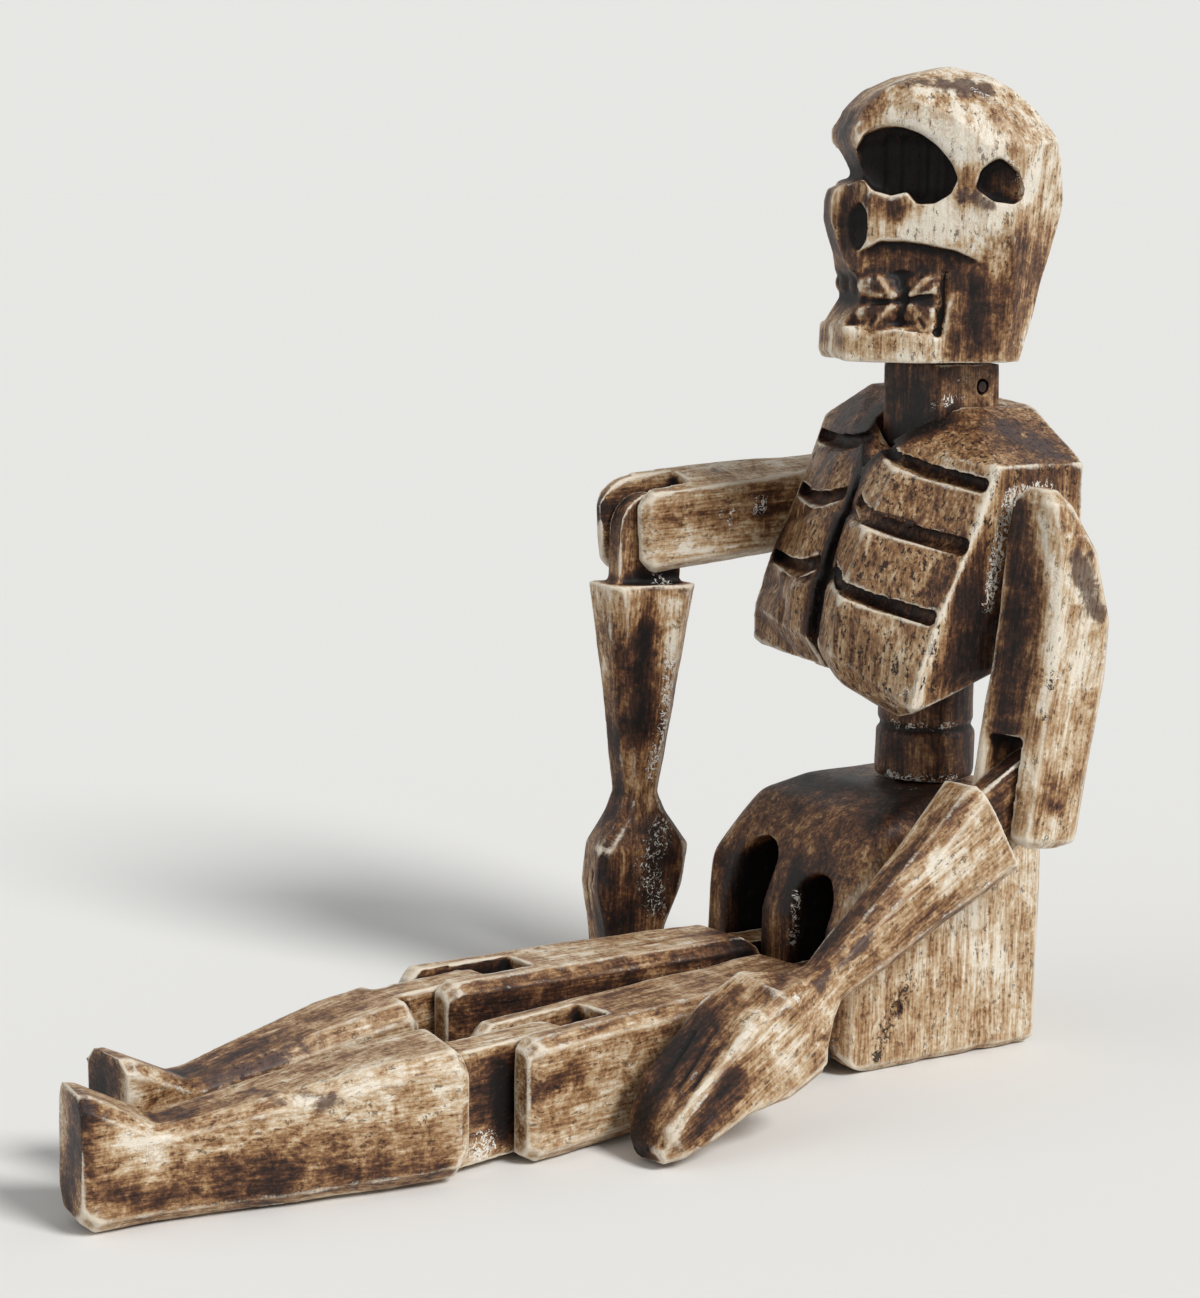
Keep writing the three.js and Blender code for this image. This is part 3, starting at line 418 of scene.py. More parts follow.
def rebuild(piece, sizes, grid):
    """Rebuilds a piece on a fine grid, wears its edges round and makes its faces uneven by hand."""
    modify(piece, "REMESH", mode="VOXEL", voxel_size=grid, use_smooth_shade=True)
    modify(piece, "SMOOTH", factor=0.5, iterations=sizes.rounding)
    wave = tool_texture("wave", "CLOUDS", WAVE_SIZE, noise_depth=1)
    modify(piece, "DISPLACE", texture=wave, texture_coords="LOCAL", strength=sizes.wave, mid_level=0.8)
    mark = tool_texture("gouge", "VORONOI", GOUGE_SIZE)
    modify(piece, "DISPLACE", texture=mark, texture_coords="LOCAL", strength=sizes.gouge, mid_level=0.9)
    settle(piece)


def per_vertex(mesh, field):
    """The places ("co") or the normals ("normal") of a mesh's vertices, as rows."""
    flat = np.empty(len(mesh.vertices) * 3, np.float32)
    mesh.vertices.foreach_get(field, flat)
    return flat.reshape(-1, 3).astype(float)


def move_to(mesh, places):
    mesh.vertices.foreach_set("co", np.ascontiguousarray(places, np.float32).ravel())
    mesh.update()


def smoothed(piece, passes):
    """Places of a piece's vertices after a number of smoothing passes."""
    modify(piece, "SMOOTH", factor=0.5, iterations=passes)
    mesh = evaluated(piece)
    piece.modifiers.clear()
    found = per_vertex(mesh, "co")
    bpy.data.meshes.remove(mesh)
    return found


def sunk_depth(piece):
    """How far each vertex lies below the tight skin round the whole piece, in mm."""
    bm = bmesh.new()
    bm.from_mesh(piece.data)
    hull = bmesh.ops.convex_hull(bm, input=bm.verts, use_existing_faces=False)
    inside = hull["geom_interior"] + hull["geom_unused"]
    inner = [item for item in inside if isinstance(item, bmesh.types.BMVert)]
    bmesh.ops.delete(bm, geom=inner, context="VERTS")
    keep = {item for item in hull["geom"] if isinstance(item, bmesh.types.BMFace)}
    loose = [face for face in bm.faces if face not in keep]
    bmesh.ops.delete(bm, geom=loose, context="FACES_ONLY")
    skin = BVHTree.FromBMesh(bm)
    depth = np.array([skin.find_nearest(v.co)[3] for v in piece.data.vertices])
    bm.free()
    return depth / MM


def away_from(places, path):
    """Distance of each place from a path of one or more points, in mm."""
    points = [np.array(point, float) for point in path]
    if len(points) == 1:
        return np.linalg.norm(places - points[0], axis=1)
    nearest = np.full(len(places), np.inf)
    for start, end in zip(points, points[1:]):
        step = end - start
        share = np.clip((places - start) @ step / (step @ step), 0, 1)
        nearest = np.minimum(nearest, np.linalg.norm(places - start - share[:, None] * step, axis=1))
    return nearest


def stroked(places, strokes):
    """Sum of soft strokes: a path and a radius in mm, and an amount."""
    total = np.zeros(len(places))
    for path, radius, amount in strokes:
        away = away_from(places, path) / radius
        total += amount * np.exp(-away * away)
    return total


def press(piece, cuts):
    """Cuts soft grooves into a piece along strokes whose amounts are depths in mm."""
    start = per_vertex(piece.data, "co")
    depth = stroked(start / MM, cuts)
    move_to(piece.data, start - per_vertex(piece.data, "normal") * depth[:, None] * MM)


def soften(piece, strokes):
    """Wears a piece rounder where the strokes lie."""
    start = per_vertex(piece.data, "co")
    share = np.clip(stroked(start / MM, strokes), 0, 1)[:, None]
    move_to(piece.data, start + (smoothed(piece, SOFT_PASSES) - start) * share)


def facing(strokes, joint, turn):
    """Strokes of one side with their mirror images on the other side of an upright body."""
    middle = np.array(joint_place(joint)) / MM
    across = np.array([math.cos(turn), math.sin(turn), 0.0])

    def other(point):
        point = np.array(point, float)
        return tuple(point - 2 * across * ((point - middle) @ across))

    return list(strokes) + [([other(point) for point in path], radius, amount)
                            for path, radius, amount in strokes]


def store(mesh, name, values):
    layer = mesh.attributes.new(name, "FLOAT", "POINT")
    layer.data.foreach_set("value", np.ascontiguousarray(values, np.float32))


def weather(piece, tone=0.3, faces=(), glaze_and_shade_strokes=(), kept=(), plum=(), chalk=(), fleck=(),
            sink=0.12, sink_from=1.0, gather=1.0):
    """Stores where glaze gathers, edges wear and the paint chips, and where the brush put more glaze, painted
    shade and painted light.
    """
    mesh = piece.data
    start = per_vertex(mesh, "co")
    normal = per_vertex(mesh, "normal")
    near = ((smoothed(piece, NEAR_PASSES) - start) * normal).sum(1) / MM
    wide = ((smoothed(piece, WIDE_PASSES) - start) * normal).sum(1) / MM
    sunk = np.clip((sunk_depth(piece) - sink_from) * sink, 0, MOST_SUNK)
    hollow = np.clip(near / NEAR_HOLLOW, 0, 1) * 0.5 + np.clip(wide / WIDE_HOLLOW, 0, 1) * 0.55 + sunk
    wear = np.clip(-near / NEAR_EDGE, 0, 1) * 0.45 + np.clip(-wide / WIDE_EDGE, 0, 1) * 0.8
    glaze_and_painted_shade = np.full(len(start), tone)
    # Faces turned one way get more glaze; where they are turned from the light, as the front faces are, this is
    # painted shade
    for direction, amount in faces:
        along = np.array(direction, float)
        along /= np.linalg.norm(along)
        glaze_and_painted_shade += amount * np.clip(normal @ along, 0, 1) ** 2
    places = start / MM
    glaze_and_painted_shade += stroked(places, glaze_and_shade_strokes)
    wear *= 1 - np.clip(stroked(places, kept), 0, 1)
    store(mesh, "hollow", np.clip(hollow, 0, MOST) * gather)
    store(mesh, "wear", np.clip(wear, 0, MOST))
    store(mesh, "glaze_and_painted_shade", glaze_and_painted_shade)
    store(mesh, "plum", stroked(places, plum))
    store(mesh, "chalk", stroked(places, chalk))
    store(mesh, "fleck", stroked(places, fleck))


def place_piece(piece, node, material):
    """Dresses a piece, lets it ride on its node's body and shows it in place of the node."""
    piece.data.materials.clear()
    piece.data.materials.append(material)
    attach(piece, BODY_OF[node])
    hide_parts(node)


def carve(context, node, grain, seed, pins=(), swells=(), cuts=(), soft=(), glaze_and_shade_strokes=(), grid=None,
          pores=0.7, mottled=1.0, reshape=None, **paint):
    """A node of the frame as a carved, worn and painted piece."""
    sizes = context.scene.puppet_sizes
    piece = copied(node, f"carved_{node}")
    if reshape:
        reshape(piece.data)
    filled = [plug_pin(piece, pin, joint, sizes) for pin, joint in pins]
    swell(piece, swells)
    rebuild(piece, sizes, grid or sizes.grid)
    soften(piece, soft)
    press(piece, cuts)
    blotches = [([middle], BLOTCH_RADIUS, BLOTCH_GLAZE) for middle in filled]
    weather(piece, glaze_and_shade_strokes=list(glaze_and_shade_strokes) + blotches, **paint)
    material = antiqued(f"{node}_paint", context.scene.puppet_colours, grain, seed, pores, mottled)
    place_piece(piece, node, material)


# Pieces

# Each stroke is a path in mm on the resting figure, a radius in mm and an amount: of glaze and painted
# shade and light, varnish or chips, of rounding, of wear held off, or a cut's depth in mm

HEAD_TURN = math.radians(-22)
CHEST_TURN = math.radians(-2)
SLOT_HALF = 7.5
FORK_MIDDLE = -46.5 * MM
FORK_ROOT = -44 * MM
PRONG_SHORTENED = 6.0 * MM


class PUPPET_OT_skull(bpy.types.Operator):
    """Carve the skull"""
    bl_idname = "puppet.skull"
    bl_label = "Skull"

    def execute(self, context):
        teeth = [
            ([(2.4, -10.7, 185.6), (5.7, -7, 182.6)], 2.2, 0),
            ([(8.1, -4.2, 182.6), (11.6, -0.3, 185.6)], 2.2, 0),
            ([(2.4, -10.7, 177), (5.7, -7, 180)], 2.2, 0),
            ([(8.1, -4.2, 180), (11.6, -0.3, 177)], 2.2, 0),
            ([(13.4, 1.9, 188), (12.7, 1.1, 174.5)], 1.9, 0),
        ]
        gouges = [
            ([(1, -6, 206), (0, -5, 212), (1, -6, 219)], 1.2, 0.7),
            ([(3, -3, 206), (2, -2, 212), (3, -3, 219)], 1.2, 0.8),
            ([(6, 0, 206), (5, 1, 212), (6, 0, 219)], 1.2, 0.8),
            ([(10, 2, 206), (9, 3, 212), (10, 2, 219)], 1.2, 0.8),
        ]
        tooth_gaps = [
            ([(3, -11, 180.4), (8.5, -6, 181.3), (12.5, -1.5, 182.4)], 0.6, 1.0),
            ([(8.4, -6.5, 187), (8.4, -6.2, 181.3), (7.6, -7, 176)], 0.6, 1.0),
            ([(14.8, 0.7, 188.5), (14.1, -0.1, 174)], 1.0, 1.7),
        ]
        tooth_lines = [
            ([(8, -6, 182.5), (11, -3.5, 187.5)], 0.6, 0.5),
            ([(9, -5, 182.5), (14, 0, 186.5)], 0.6, 0.5),
            ([(9, -5, 180), (12, -3, 175.5)], 0.6, 0.5),
            ([(5, -9.5, 182.5), (3.5, -12, 187)], 0.6, 0.5),
            ([(5, -10, 179), (3.5, -12.5, 175.5)], 0.6, 0.5),
        ]
        jaw_edge = [
            ([(1, -16, 176), (4, -13, 174), (8, -8.5, 176.5), (12, -4, 174), (14, -1, 174)], 1.0, 0.8),
        ]
        facets = [([(-6, -14, 224), (4, -13, 223)], 3.0, 0.6)]
        edges = [
            [(9, -5, 230), (12, 3, 230), (11, 12, 233)],
            [(13, 3, 230), (17, 1, 224), (18, 1, 217)],
            [(12, 13, 233), (14, 21, 230), (17, 25, 226), (24, 23, 219)],
            [(7, -11, 224), (6, -10, 228), (3, -8, 231)],
        ]
        ridges = [(edge, 1.3, -0.15) for edge in edges]
        rims = [
            ([(1, -14, 214), (3, -12, 221), (9, -7, 222), (14, -2, 218), (17, 1, 213)], 3.0, 0.8),
            ([(20, 4, 213), (21, 9, 215), (24, 14, 212), (24, 16, 207)], 2.5, 0.7),
        ]
        far_lips = [([(-20.2, -6.2, 209.1)], 1.9, 1.0), ([(-18.4, -7.9, 188)], 1.6, 1.0)]
        glaze_and_shade_strokes = [
            ([(-12, -12, 221), (-1, -14, 226), (3, -11, 229)], 5.0, 0.42),
            ([(6, -5, 233), (15, 11, 231)], 5.0, 0.15),
            ([(-13, -9, 215)], 4.0, 0.3),
            ([(12, 3, 228), (18, 12, 224)], 5.0, 0.08),
            ([(19, 3, 211), (19, 3, 206)], 3.0, 0.4),
            ([(3, -14, 204), (9, -8, 202)], 3.6, 0.4),
            ([(3, -10, 192), (10, -3, 191)], 3.5, 0.22),
            ([(16, 3, 189), (19, 8, 184)], 3.5, 0.25),
            ([(5, -11, 185), (12, -3, 185)], 4.0, 0.58),
            ([(4, -12, 178), (12, -4, 178)], 3.2, 0.58),
            ([(-12, -17, 185), (-14, -16, 178)], 3.5, 0.4),
            ([(18, 7, 184), (17, 6, 171)], 5.5, 0.4),
            ([(23, 17, 197), (22, 15, 184), (19, 13, 171)], 6.5, 0.32),
            ([(22, 22, 202)], 4.0, 0.15),
            ([(20, 26, 190), (18, 24, 176)], 8.0, 0.25),
            ([(-1, -18, 171), (5, -12, 170), (11, -6, 171)], 2.4, 0.25),
            ([(-16, -12, 172)], 3.5, 0.35),
            ([(-12, -15, 206), (-12, -13, 195)], 2.6, 0.4),
            ([(-3, -14, 207), (-6, -15, 200)], 2.6, 0.4),
            ([(-4, -13, 200), (-4, -14, 194)], 2.4, 0.4),
            ([(18, 8, 212), (17.5, 8, 207)], 2.4, -0.35),
            ([(6.6, -8.6, 182.8), (4.4, -11, 186.6)], 0.8, -0.5),
            ([(9.6, -5, 182.8), (12.4, -2.4, 187)], 0.8, -0.5),
            ([(9.8, -4.8, 182), (13.4, -0.8, 183.6)], 0.7, -0.45),
            ([(6.4, -8.8, 181.9), (3.2, -12, 182.6)], 0.7, -0.45),
            ([(6.6, -8.8, 179.8), (4.2, -11.4, 176.4)], 0.8, -0.5),
            ([(9.6, -5.2, 179.8), (12, -3, 176.2)], 0.8, -0.5),
            ([(11, -6, 223), (15, -2, 219), (18, 2, 215), (23, 7, 217)], 4.5, -0.25),
            ([(24, 19, 210), (23, 8, 201), (17, 0, 201), (10, -8, 198)], 3.6, -0.22),
        ]
        plum = [
            ([(0, -8, 232), (6, -5, 233), (15, 11, 231)], 5.0, 0.62),
            ([(19, 3, 206), (23, 7, 205)], 3.0, 0.75),
        ]
        chalk = [
            ([(8, -9, 224), (12, -5, 221), (18, 2, 215)], 2.2, 0.5),
            ([(24, 10, 214), (24, 19, 208)], 3.0, 0.35),
            ([(14, 8, 231), (21, 16, 224)], 1.4, 0.35),
            ([(20, 10, 211)], 2.0, 0.35),
        ]
        fleck = [([(14.3, 1, 188), (13.6, 0, 174)], 1.3, 0.9), ([(22, 16, 206)], 1.8, 0.6)]
        cuts = gouges + tooth_gaps + tooth_lines + jaw_edge + facets + ridges
        glaze_and_shade_strokes += [(edge, 1.1, -0.3) for edge in edges]

        def both(strokes):
            return facing(strokes, "head_turn", HEAD_TURN)

        carve(context, "skull", UPRIGHT, seed=1, tone=0.16, sink=0.22, sink_from=1.5, pores=0.8,
              swells=both(teeth), cuts=both(cuts), soft=both(rims) + far_lips, glaze_and_shade_strokes=both(glaze_and_shade_strokes),
              plum=both(plum), chalk=both(chalk), fleck=both(fleck),
              grid=context.scene.puppet_sizes.face_grid)
        return {"FINISHED"}


class PUPPET_OT_neck(bpy.types.Operator):
    """Carve the neck block"""
    bl_idname = "puppet.neck"
    bl_label = "Neck"

    def execute(self, context):
        # Painted shade and light, over the neck's own glaze: dark all over and darker at its base and on its front
        # faces, where the skull shades it, and lighter on the side towards the key light
        glaze_and_shade_strokes = [([(9, 14, 160)], 6.0, -0.2), ([(5, 2, 153), (-5, 1, 146)], 6.0, 0.2)]
        chalk = [
            ([(12, 6, 158), (13, 22, 158)], 1.6, 0.6),
            ([(12, 10, 162), (12.5, 16, 164)], 2.4, 0.35),
            ([(9, 3, 156), (12, 6, 158)], 1.4, 0.4),
        ]
        carve(context, "neck_peg", UPRIGHT, seed=2, tone=0.66, glaze_and_shade_strokes=glaze_and_shade_strokes, chalk=chalk,
              faces=[((0.3, -1, 0), 0.1)])
        return {"FINISHED"}


class PUPPET_OT_chest(bpy.types.Operator):
    """Carve the chest"""
    bl_idname = "puppet.chest"
    bl_label = "Chest"

    def execute(self, context):
        ribs = [
            ([(7, -8, 145), (33, -1, 140)], 1.5, 0.8),
            ([(1, -16, 131.5), (8, -17.5, 130)], 1.4, 1.2),
            ([(8, -17.5, 130), (36, -9, 125)], 1.5, 0.8),
            ([(2, -21, 116), (7, -22, 114.5)], 1.4, 1.2),
            ([(7, -22, 114.5), (36, -16, 108)], 1.5, 0.8),
            ([(13, -9, 147), (22, -5, 144.5)], 1.5, 1.0),
            ([(9, -17, 132), (22, -13, 129.5)], 1.5, 1.1),
            ([(8, -21.5, 116.5), (22, -18, 113)], 1.5, 1.1),
        ]
        glaze_and_shade_strokes = [
            ([(18, -13, 135), (33, -8, 132)], 6.0, 0.06),
            ([(17, -20, 125), (32, -15, 119)], 6.0, -0.04),
            # Glaze with painted shade on the chest's side, where the arm shades it
            ([(38, -10, 117), (38, -4, 107), (37, -8, 99)], 7.0, 0.5),
            ([(38, 0, 139), (39, 14, 140)], 4.0, 0.1),
            ([(23, 15, 152), (32, 18, 147)], 9.0, 0.28),
            ([(20, 1, 150), (29, 0, 147)], 4.0, 0.05),
            ([(3, -9, 144), (9, -5, 149), (14, 3, 155)], 3.4, 0.75),
            ([(-2, -9, 142), (-2, -14, 133), (-3, -19, 118), (-4, -22, 102)], 2.4, 0.6),
            ([(37, -1, 144), (38, -4, 136), (38, -8, 127), (38, -16, 109), (35, -21, 88)], 1.5, -0.5),
        ]
        plum = [([(23, 15, 152), (32, 18, 147)], 8.0, 0.8)]
        chalk = [
            ([(39, 3, 136), (38.5, 0, 124), (38.5, -2, 112)], 2.0, 0.85),
            ([(39, 4, 138), (39, 14, 139)], 1.8, 0.85),
            ([(27, -21, 88), (36, -22, 94)], 1.6, 0.5),
            ([(12, 4, 157), (14, 22, 157)], 1.5, 0.7),
        ]
        far = [
            ([(-27, 5, 153), (-20, -5, 144)], 7.0, 0.4),
            ([(-14, -15, 130), (-24, -17, 106)], 9.0, 0.1),
        ]
        far_cuts = [([(-22, -19, 106), (-20, -21, 100), (-15, -21, 97)], 1.2, 1.2)]

        def both(strokes):
            return facing(strokes, "waist_turn", CHEST_TURN)

        carve(context, "chest", UPRIGHT, seed=3, tone=0.42, sink=0.05, sink_from=2.0, gather=0.5,
              pores=1.5, mottled=0.6, cuts=both(ribs) + far_cuts, glaze_and_shade_strokes=both(glaze_and_shade_strokes) + far,
              plum=both(plum), chalk=both(chalk))
        return {"FINISHED"}


class PUPPET_OT_waist(bpy.types.Operator):
    """Turn the waist peg"""
    bl_idname = "puppet.waist"
    bl_label = "Waist"

    def execute(self, context):
        rings = [([(0, -2, height), (9, 2, height), (12.5, 11, height)], 1.5, 0.42)
                 for height in (78, 65)]
        carve(context, "waist_peg", UPRIGHT, seed=4, tone=0.7, chalk=rings)
        return {"FINISHED"}


class PUPPET_OT_pelvis(bpy.types.Operator):
    """Carve the pelvis"""
    bl_idname = "puppet.pelvis"
    bl_label = "Pelvis"

    def execute(self, context):
        glaze_and_shade_strokes = [
            ([(-14, -13, 62), (13, -3, 63), (24, -18, 61)], 9.0, 0.36),
            ([(-14, -25, 56), (10, -27, 54)], 5.0, 0.06),
            ([(-20, -33, 44), (0, -33, 44), (18, -31, 47)], 7.0, 0.16),
            ([(29, -3, 19), (30, 13, 23), (30, 20, 34)], 14.0, -0.1),
        ]
        kept = []
        for side in SIDES:
            middle = joint_place(f"hip_{side}").x / MM
            right, left = middle - SLOT_HALF, middle + SLOT_HALF
            arch = [(right, -35, 4), (right, -35, 40), (middle, -34, 47),
                    (left, -35, 40), (left, -35, 4)]
            wall = [(right, -30, 3), (right, -30, 42)]
            glaze_and_shade_strokes += [(arch, 2.2, 0.3), (wall, 4.5, 0.6)]
            kept += [(arch, 3.0, 0.8), (wall, 4.5, 1.0)]
        glaze_and_shade_strokes += [([(29, -18.4, 15)], 2.4, -0.6), ([(-29, -22.9, 15)], 2.4, -0.6)]
        fleck = [
            ([(30, -15, 22), (29, -19, 14), (29, -23, 8)], 3.8, 0.5),
            ([(29, -24, 4)], 1.6, 0.8),
            ([(29, 13, 6)], 1.2, 0.6),
        ]
        chalk = [([(8, -33, 40), (8, -34, 28)], 1.8, 0.45), ([(12, 0, 65), (9, -4, 65)], 2.0, 0.6)]
        round_top = [
            ([(-28, -22, 58), (28, -22, 58)], 20.0, 1.8),
            ([(-29, 0, 60), (-29, -30, 40)], 12.0, 1.5),
        ]
        nicks = [
            ([(29, -8, 0)], 2.0, 0.5),
            ([(29, 8, 0)], 2.5, 0.6),
            ([(29, 20, 0)], 2.0, 0.4),
        ]
        pins = [(f"hip_pin_{side}", f"hip_{side}") for side in SIDES]
        # More glaze on the top faces; the darker front faces, turned from the light, are painted shade
        carve(context, "pelvis", UPRIGHT, seed=5, tone=0.28, sink=0.12, sink_from=2.0, mottled=0.75,
              pins=pins, cuts=nicks, soft=round_top, glaze_and_shade_strokes=glaze_and_shade_strokes, kept=kept, fleck=fleck, chalk=chalk,
              faces=[(UPRIGHT, 0.24), ((0, -1, 0.3), 0.2)])
        return {"FINISHED"}


class PUPPET_OT_upper_arms(bpy.types.Operator):
    """Carve the upper arms"""
    bl_idname = "puppet.upper_arms"
    bl_label = "Upper arms"

    def execute(self, context):
        def shorten(mesh):
            """The inner prong of the raised arm's fork ends short of the outer one."""
            for vertex in mesh.vertices:
                if vertex.co.x > FORK_MIDDLE and vertex.co.y < FORK_ROOT:
                    vertex.co.y += PRONG_SHORTENED

        paint = {
            "left": {
                "tone": 0.23,
                "glaze_and_shade_strokes": [
                    ([(43, 1, 134), (46, 0, 118), (46, -1, 98), (46, -2, 84)], 5.0, 0.55),
                    ([(49, 2, 136), (54, 4, 120), (55, 4, 104), (54, 1, 89)], 1.2, -0.3),
                    ([(55, 7, 66), (51, -3, 70)], 1.5, 0.4),
                    ([(55, 6, 107), (55, 15, 124)], 5.0, -0.1),
                ],
                "plum": [([(55, 10, 124), (55, 15, 112)], 4.6, 0.85)],
                "chalk": [
                    ([(42, 1, 138), (40.5, -4, 128), (40.5, -8, 112)], 1.5, 0.55),
                    ([(55, 5, 97)], 1.5, 0.6),
                ],
                "fleck": [
                    ([(55, 3, 98), (55, 3, 95)], 1.3, 0.8),
                    ([(55, 2, 88)], 1.4, 0.75),
                    ([(55, 8, 64)], 1.0, 0.6),
                ],
            },
            "right": {
                "tone": 0.24,
                "reshape": shorten,
                "glaze_and_shade_strokes": [
                    ([(-40, -9, 127)], 6.0, 0.5),
                    ([(-41, -37, 125), (-41, -29, 131)], 4.0, 0.12),
                    ([(-53, -52, 127)], 7.0, 0.5),
                    ([(-48, -40, 132)], 5.0, 0.3),
                ],
                "plum": [([(-50, -20, 137), (-42, -8, 137)], 3.0, 0.6)],
                "chalk": [([(-41, -21, 126)], 5.0, 0.35), ([(-40, -12, 128)], 3.0, 0.6)],
                "fleck": [([(-41, -24, 127)], 1.6, 0.55)],
            },
        }
        for seed, side in enumerate(SIDES, 6):
            node = f"upper_arm_{side}"
            pins = [(f"{joint}_pin_{side}", f"{joint}_{side}") for joint in ("shoulder", "elbow")]
            carve(context, node, grain_along(f"shoulder_{side}", node), seed, pins=pins, **paint[side])
        return {"FINISHED"}


class PUPPET_OT_forearms(bpy.types.Operator):
    """Carve the forearms with their hands"""
    bl_idname = "puppet.forearms"
    bl_label = "Forearms"

    def execute(self, context):
        paint = {
            "left": {
                "tone": 0.27,
                "glaze_and_shade_strokes": [
                    ([(51, -22, 68), (50, -41, 53), (51, -57, 40)], 3.4, 0.3),
                    ([(53, -12, 48), (55, -40, 38)], 3.5, 0.2),
                    ([(47, 0, 78), (47, -4, 72)], 6.0, 0.45),
                    ([(55, -25, 60), (54, -36, 55)], 4.0, -0.1),
                    ([(52, -91, 27), (51, -99, 21), (55, -106, 12), (54, -109, 4)], 6.5, 0.62),
                    ([(64, -90, 18), (65, -99, 9)], 5.2, 0.45),
                    ([(52, -84, 32), (59, -76, 34)], 4.0, 0.2),
                    ([(62, -84, 29), (63, -96, 19), (64, -105, 10)], 0.9, -0.5),
                    ([(62, -75, 26), (63, -72, 18)], 4.0, -0.15),
                ],
                "plum": [
                    ([(57, -48, 43), (58, -63, 34)], 2.6, 0.75),
                    ([(55, -19, 67)], 3.0, 0.5),
                    ([(65, -96, 10)], 5.0, 0.5),
                ],
                "chalk": [([(61, -71, 33)], 1.6, 0.6), ([(55, -14, 50)], 1.6, 0.5)],
                "cuts": [
                    ([(51, -92, 26), (54, -103, 15), (53, -108, 3)], 0.7, 0.7),
                    ([(55, -89, 28), (58, -100, 17), (58, -108, 4)], 0.7, 0.7),
                    ([(58, -86, 30), (61, -98, 18), (62, -107, 6)], 0.7, 0.7),
                    ([(64, -89, 20), (65, -98, 10)], 3.4, 0.7),
                ],
            },
            "right": {
                "tone": 0.4,
                "glaze_and_shade_strokes": [
                    ([(-42, -45, 97), (-43, -44, 73)], 4.0, 0.45),
                    ([(-43, -50, 92), (-45, -50, 70)], 4.0, 0.3),
                    ([(-42, -37, 92), (-41, -37, 103)], 3.0, -0.25),
                    ([(-46, -43, 110), (-46, -35, 110)], 4.0, 0.5),
                    ([(-49, -52, 48), (-44, -50, 52)], 5.0, 0.12),
                    ([(-41, -56, 35), (-43, -54, 22)], 7.0, 0.45),
                    ([(-50, -50, 121), (-49, -46, 128)], 6.0, 0.3),
                    ([(-41, -40, 44), (-40, -42, 30)], 6.0, 0.55),
                ],
                "plum": [([(-42, -57, 33)], 6.0, 0.45)],
                "chalk": [
                    ([(-42, -37, 92), (-43, -38, 74), (-44, -41, 61)], 2.5, 0.5),
                    ([(-41, -39, 48), (-40, -44, 38), (-40, -41, 28)], 6.0, 0.32),
                    ([(-46, -38, 109)], 4.0, 0.4),
                ],
                "cuts": [
                    ([(-44, -56, 36), (-44, -52, 24)], 0.8, 0.9),
                    ([(-48, -56, 36), (-48, -52, 24)], 0.8, 0.9),
                    ([(-52, -56, 36), (-52, -52, 24)], 0.8, 0.9),
                ],
            },
        }
        for seed, side in enumerate(SIDES, 8):
            node = f"forearm_{side}"
            carve(context, node, grain_along(f"elbow_{side}", node), seed, sink=0.04, **paint[side])
        return {"FINISHED"}


class PUPPET_OT_thighs(bpy.types.Operator):
    """Carve the thighs"""
    bl_idname = "puppet.thighs"
    bl_label = "Thighs"

    def execute(self, context):
        paint = {
            "left": {
                "tone": 0.3,
                "faces": [(UPRIGHT, 0.1)],
                "glaze_and_shade_strokes": [
                    ([(47, -128, 17), (45, -118, 20)], 3.0, 0.35),
                    ([(24, -45, 28), (16, -42, 28)], 8.0, 0.2),
                ],
                "fleck": [([(46, -123, 17)], 1.8, 0.5)],
            },
            "right": {
                "tone": 0.3,
                "faces": [((1, 0, 0), 0.4)],
                "glaze_and_shade_strokes": [([(2, -45, 28), (-8, -42, 28)], 8.0, 0.25)],
                "chalk": [([(7, -74, 20), (4, -51, 20)], 6.0, 0.35)],
            },
        }
        for seed, side in enumerate(SIDES, 10):
            node = f"thigh_{side}"
            pins = [(f"knee_pin_{side}", f"knee_{side}")]
            carve(context, node, grain_along(f"hip_{side}", node), seed, pins=pins, **paint[side])
        return {"FINISHED"}


class PUPPET_OT_shins(bpy.types.Operator):
    """Carve the shins with their feet"""
    bl_idname = "puppet.shins"
    bl_label = "Shins"

    def execute(self, context):
        paint = {
            "left": {
                "tone": 0.26,
                "glaze_and_shade_strokes": [
                    ([(40, -218, 7), (47, -171, 7), (49, -155, 6)], 6.0, 0.32),
                    ([(46, -171, 25), (49, -153, 24)], 5.0, -0.12),
                    ([(42, -136, 16), (40, -128, 14)], 8.0, 0.5),
                    ([(41, -134, 21), (41, -133, 8)], 3.0, 0.6),
                    ([(36, -229, 24), (29, -228, 7)], 6.0, 0.6),
                    ([(39, -229, 28)], 4.0, 0.3),
                    ([(40, -219, 20), (40, -213, 15)], 3.0, -0.25),
                    ([(35, -205, 21)], 4.0, 0.3),
                ],
                "plum": [
                    ([(30, -193, 23), (42, -186, 24), (46, -176, 22)], 3.5, 0.55),
                    ([(35, -205, 21)], 3.0, 0.4),
                ],
                "chalk": [([(42, -139, 5)], 4.0, 0.7)],
                "fleck": [([(49, -157, 16)], 2.0, 0.5)],
            },
            "right": {
                "tone": 0.34,
                "glaze_and_shade_strokes": [([(11, -213, 24), (6, -213, 8)], 6.0, 0.6), ([(20, -210, 21)], 3.0, -0.3)],
                "plum": [([(16, -190, 22), (14, -165, 24)], 4.5, 0.6)],
            },
        }
        for seed, side in enumerate(SIDES, 12):
            node = f"shin_{side}"
            carve(context, node, grain_along(f"knee_{side}", node), seed, sink=0.04, **paint[side])
        return {"FINISHED"}


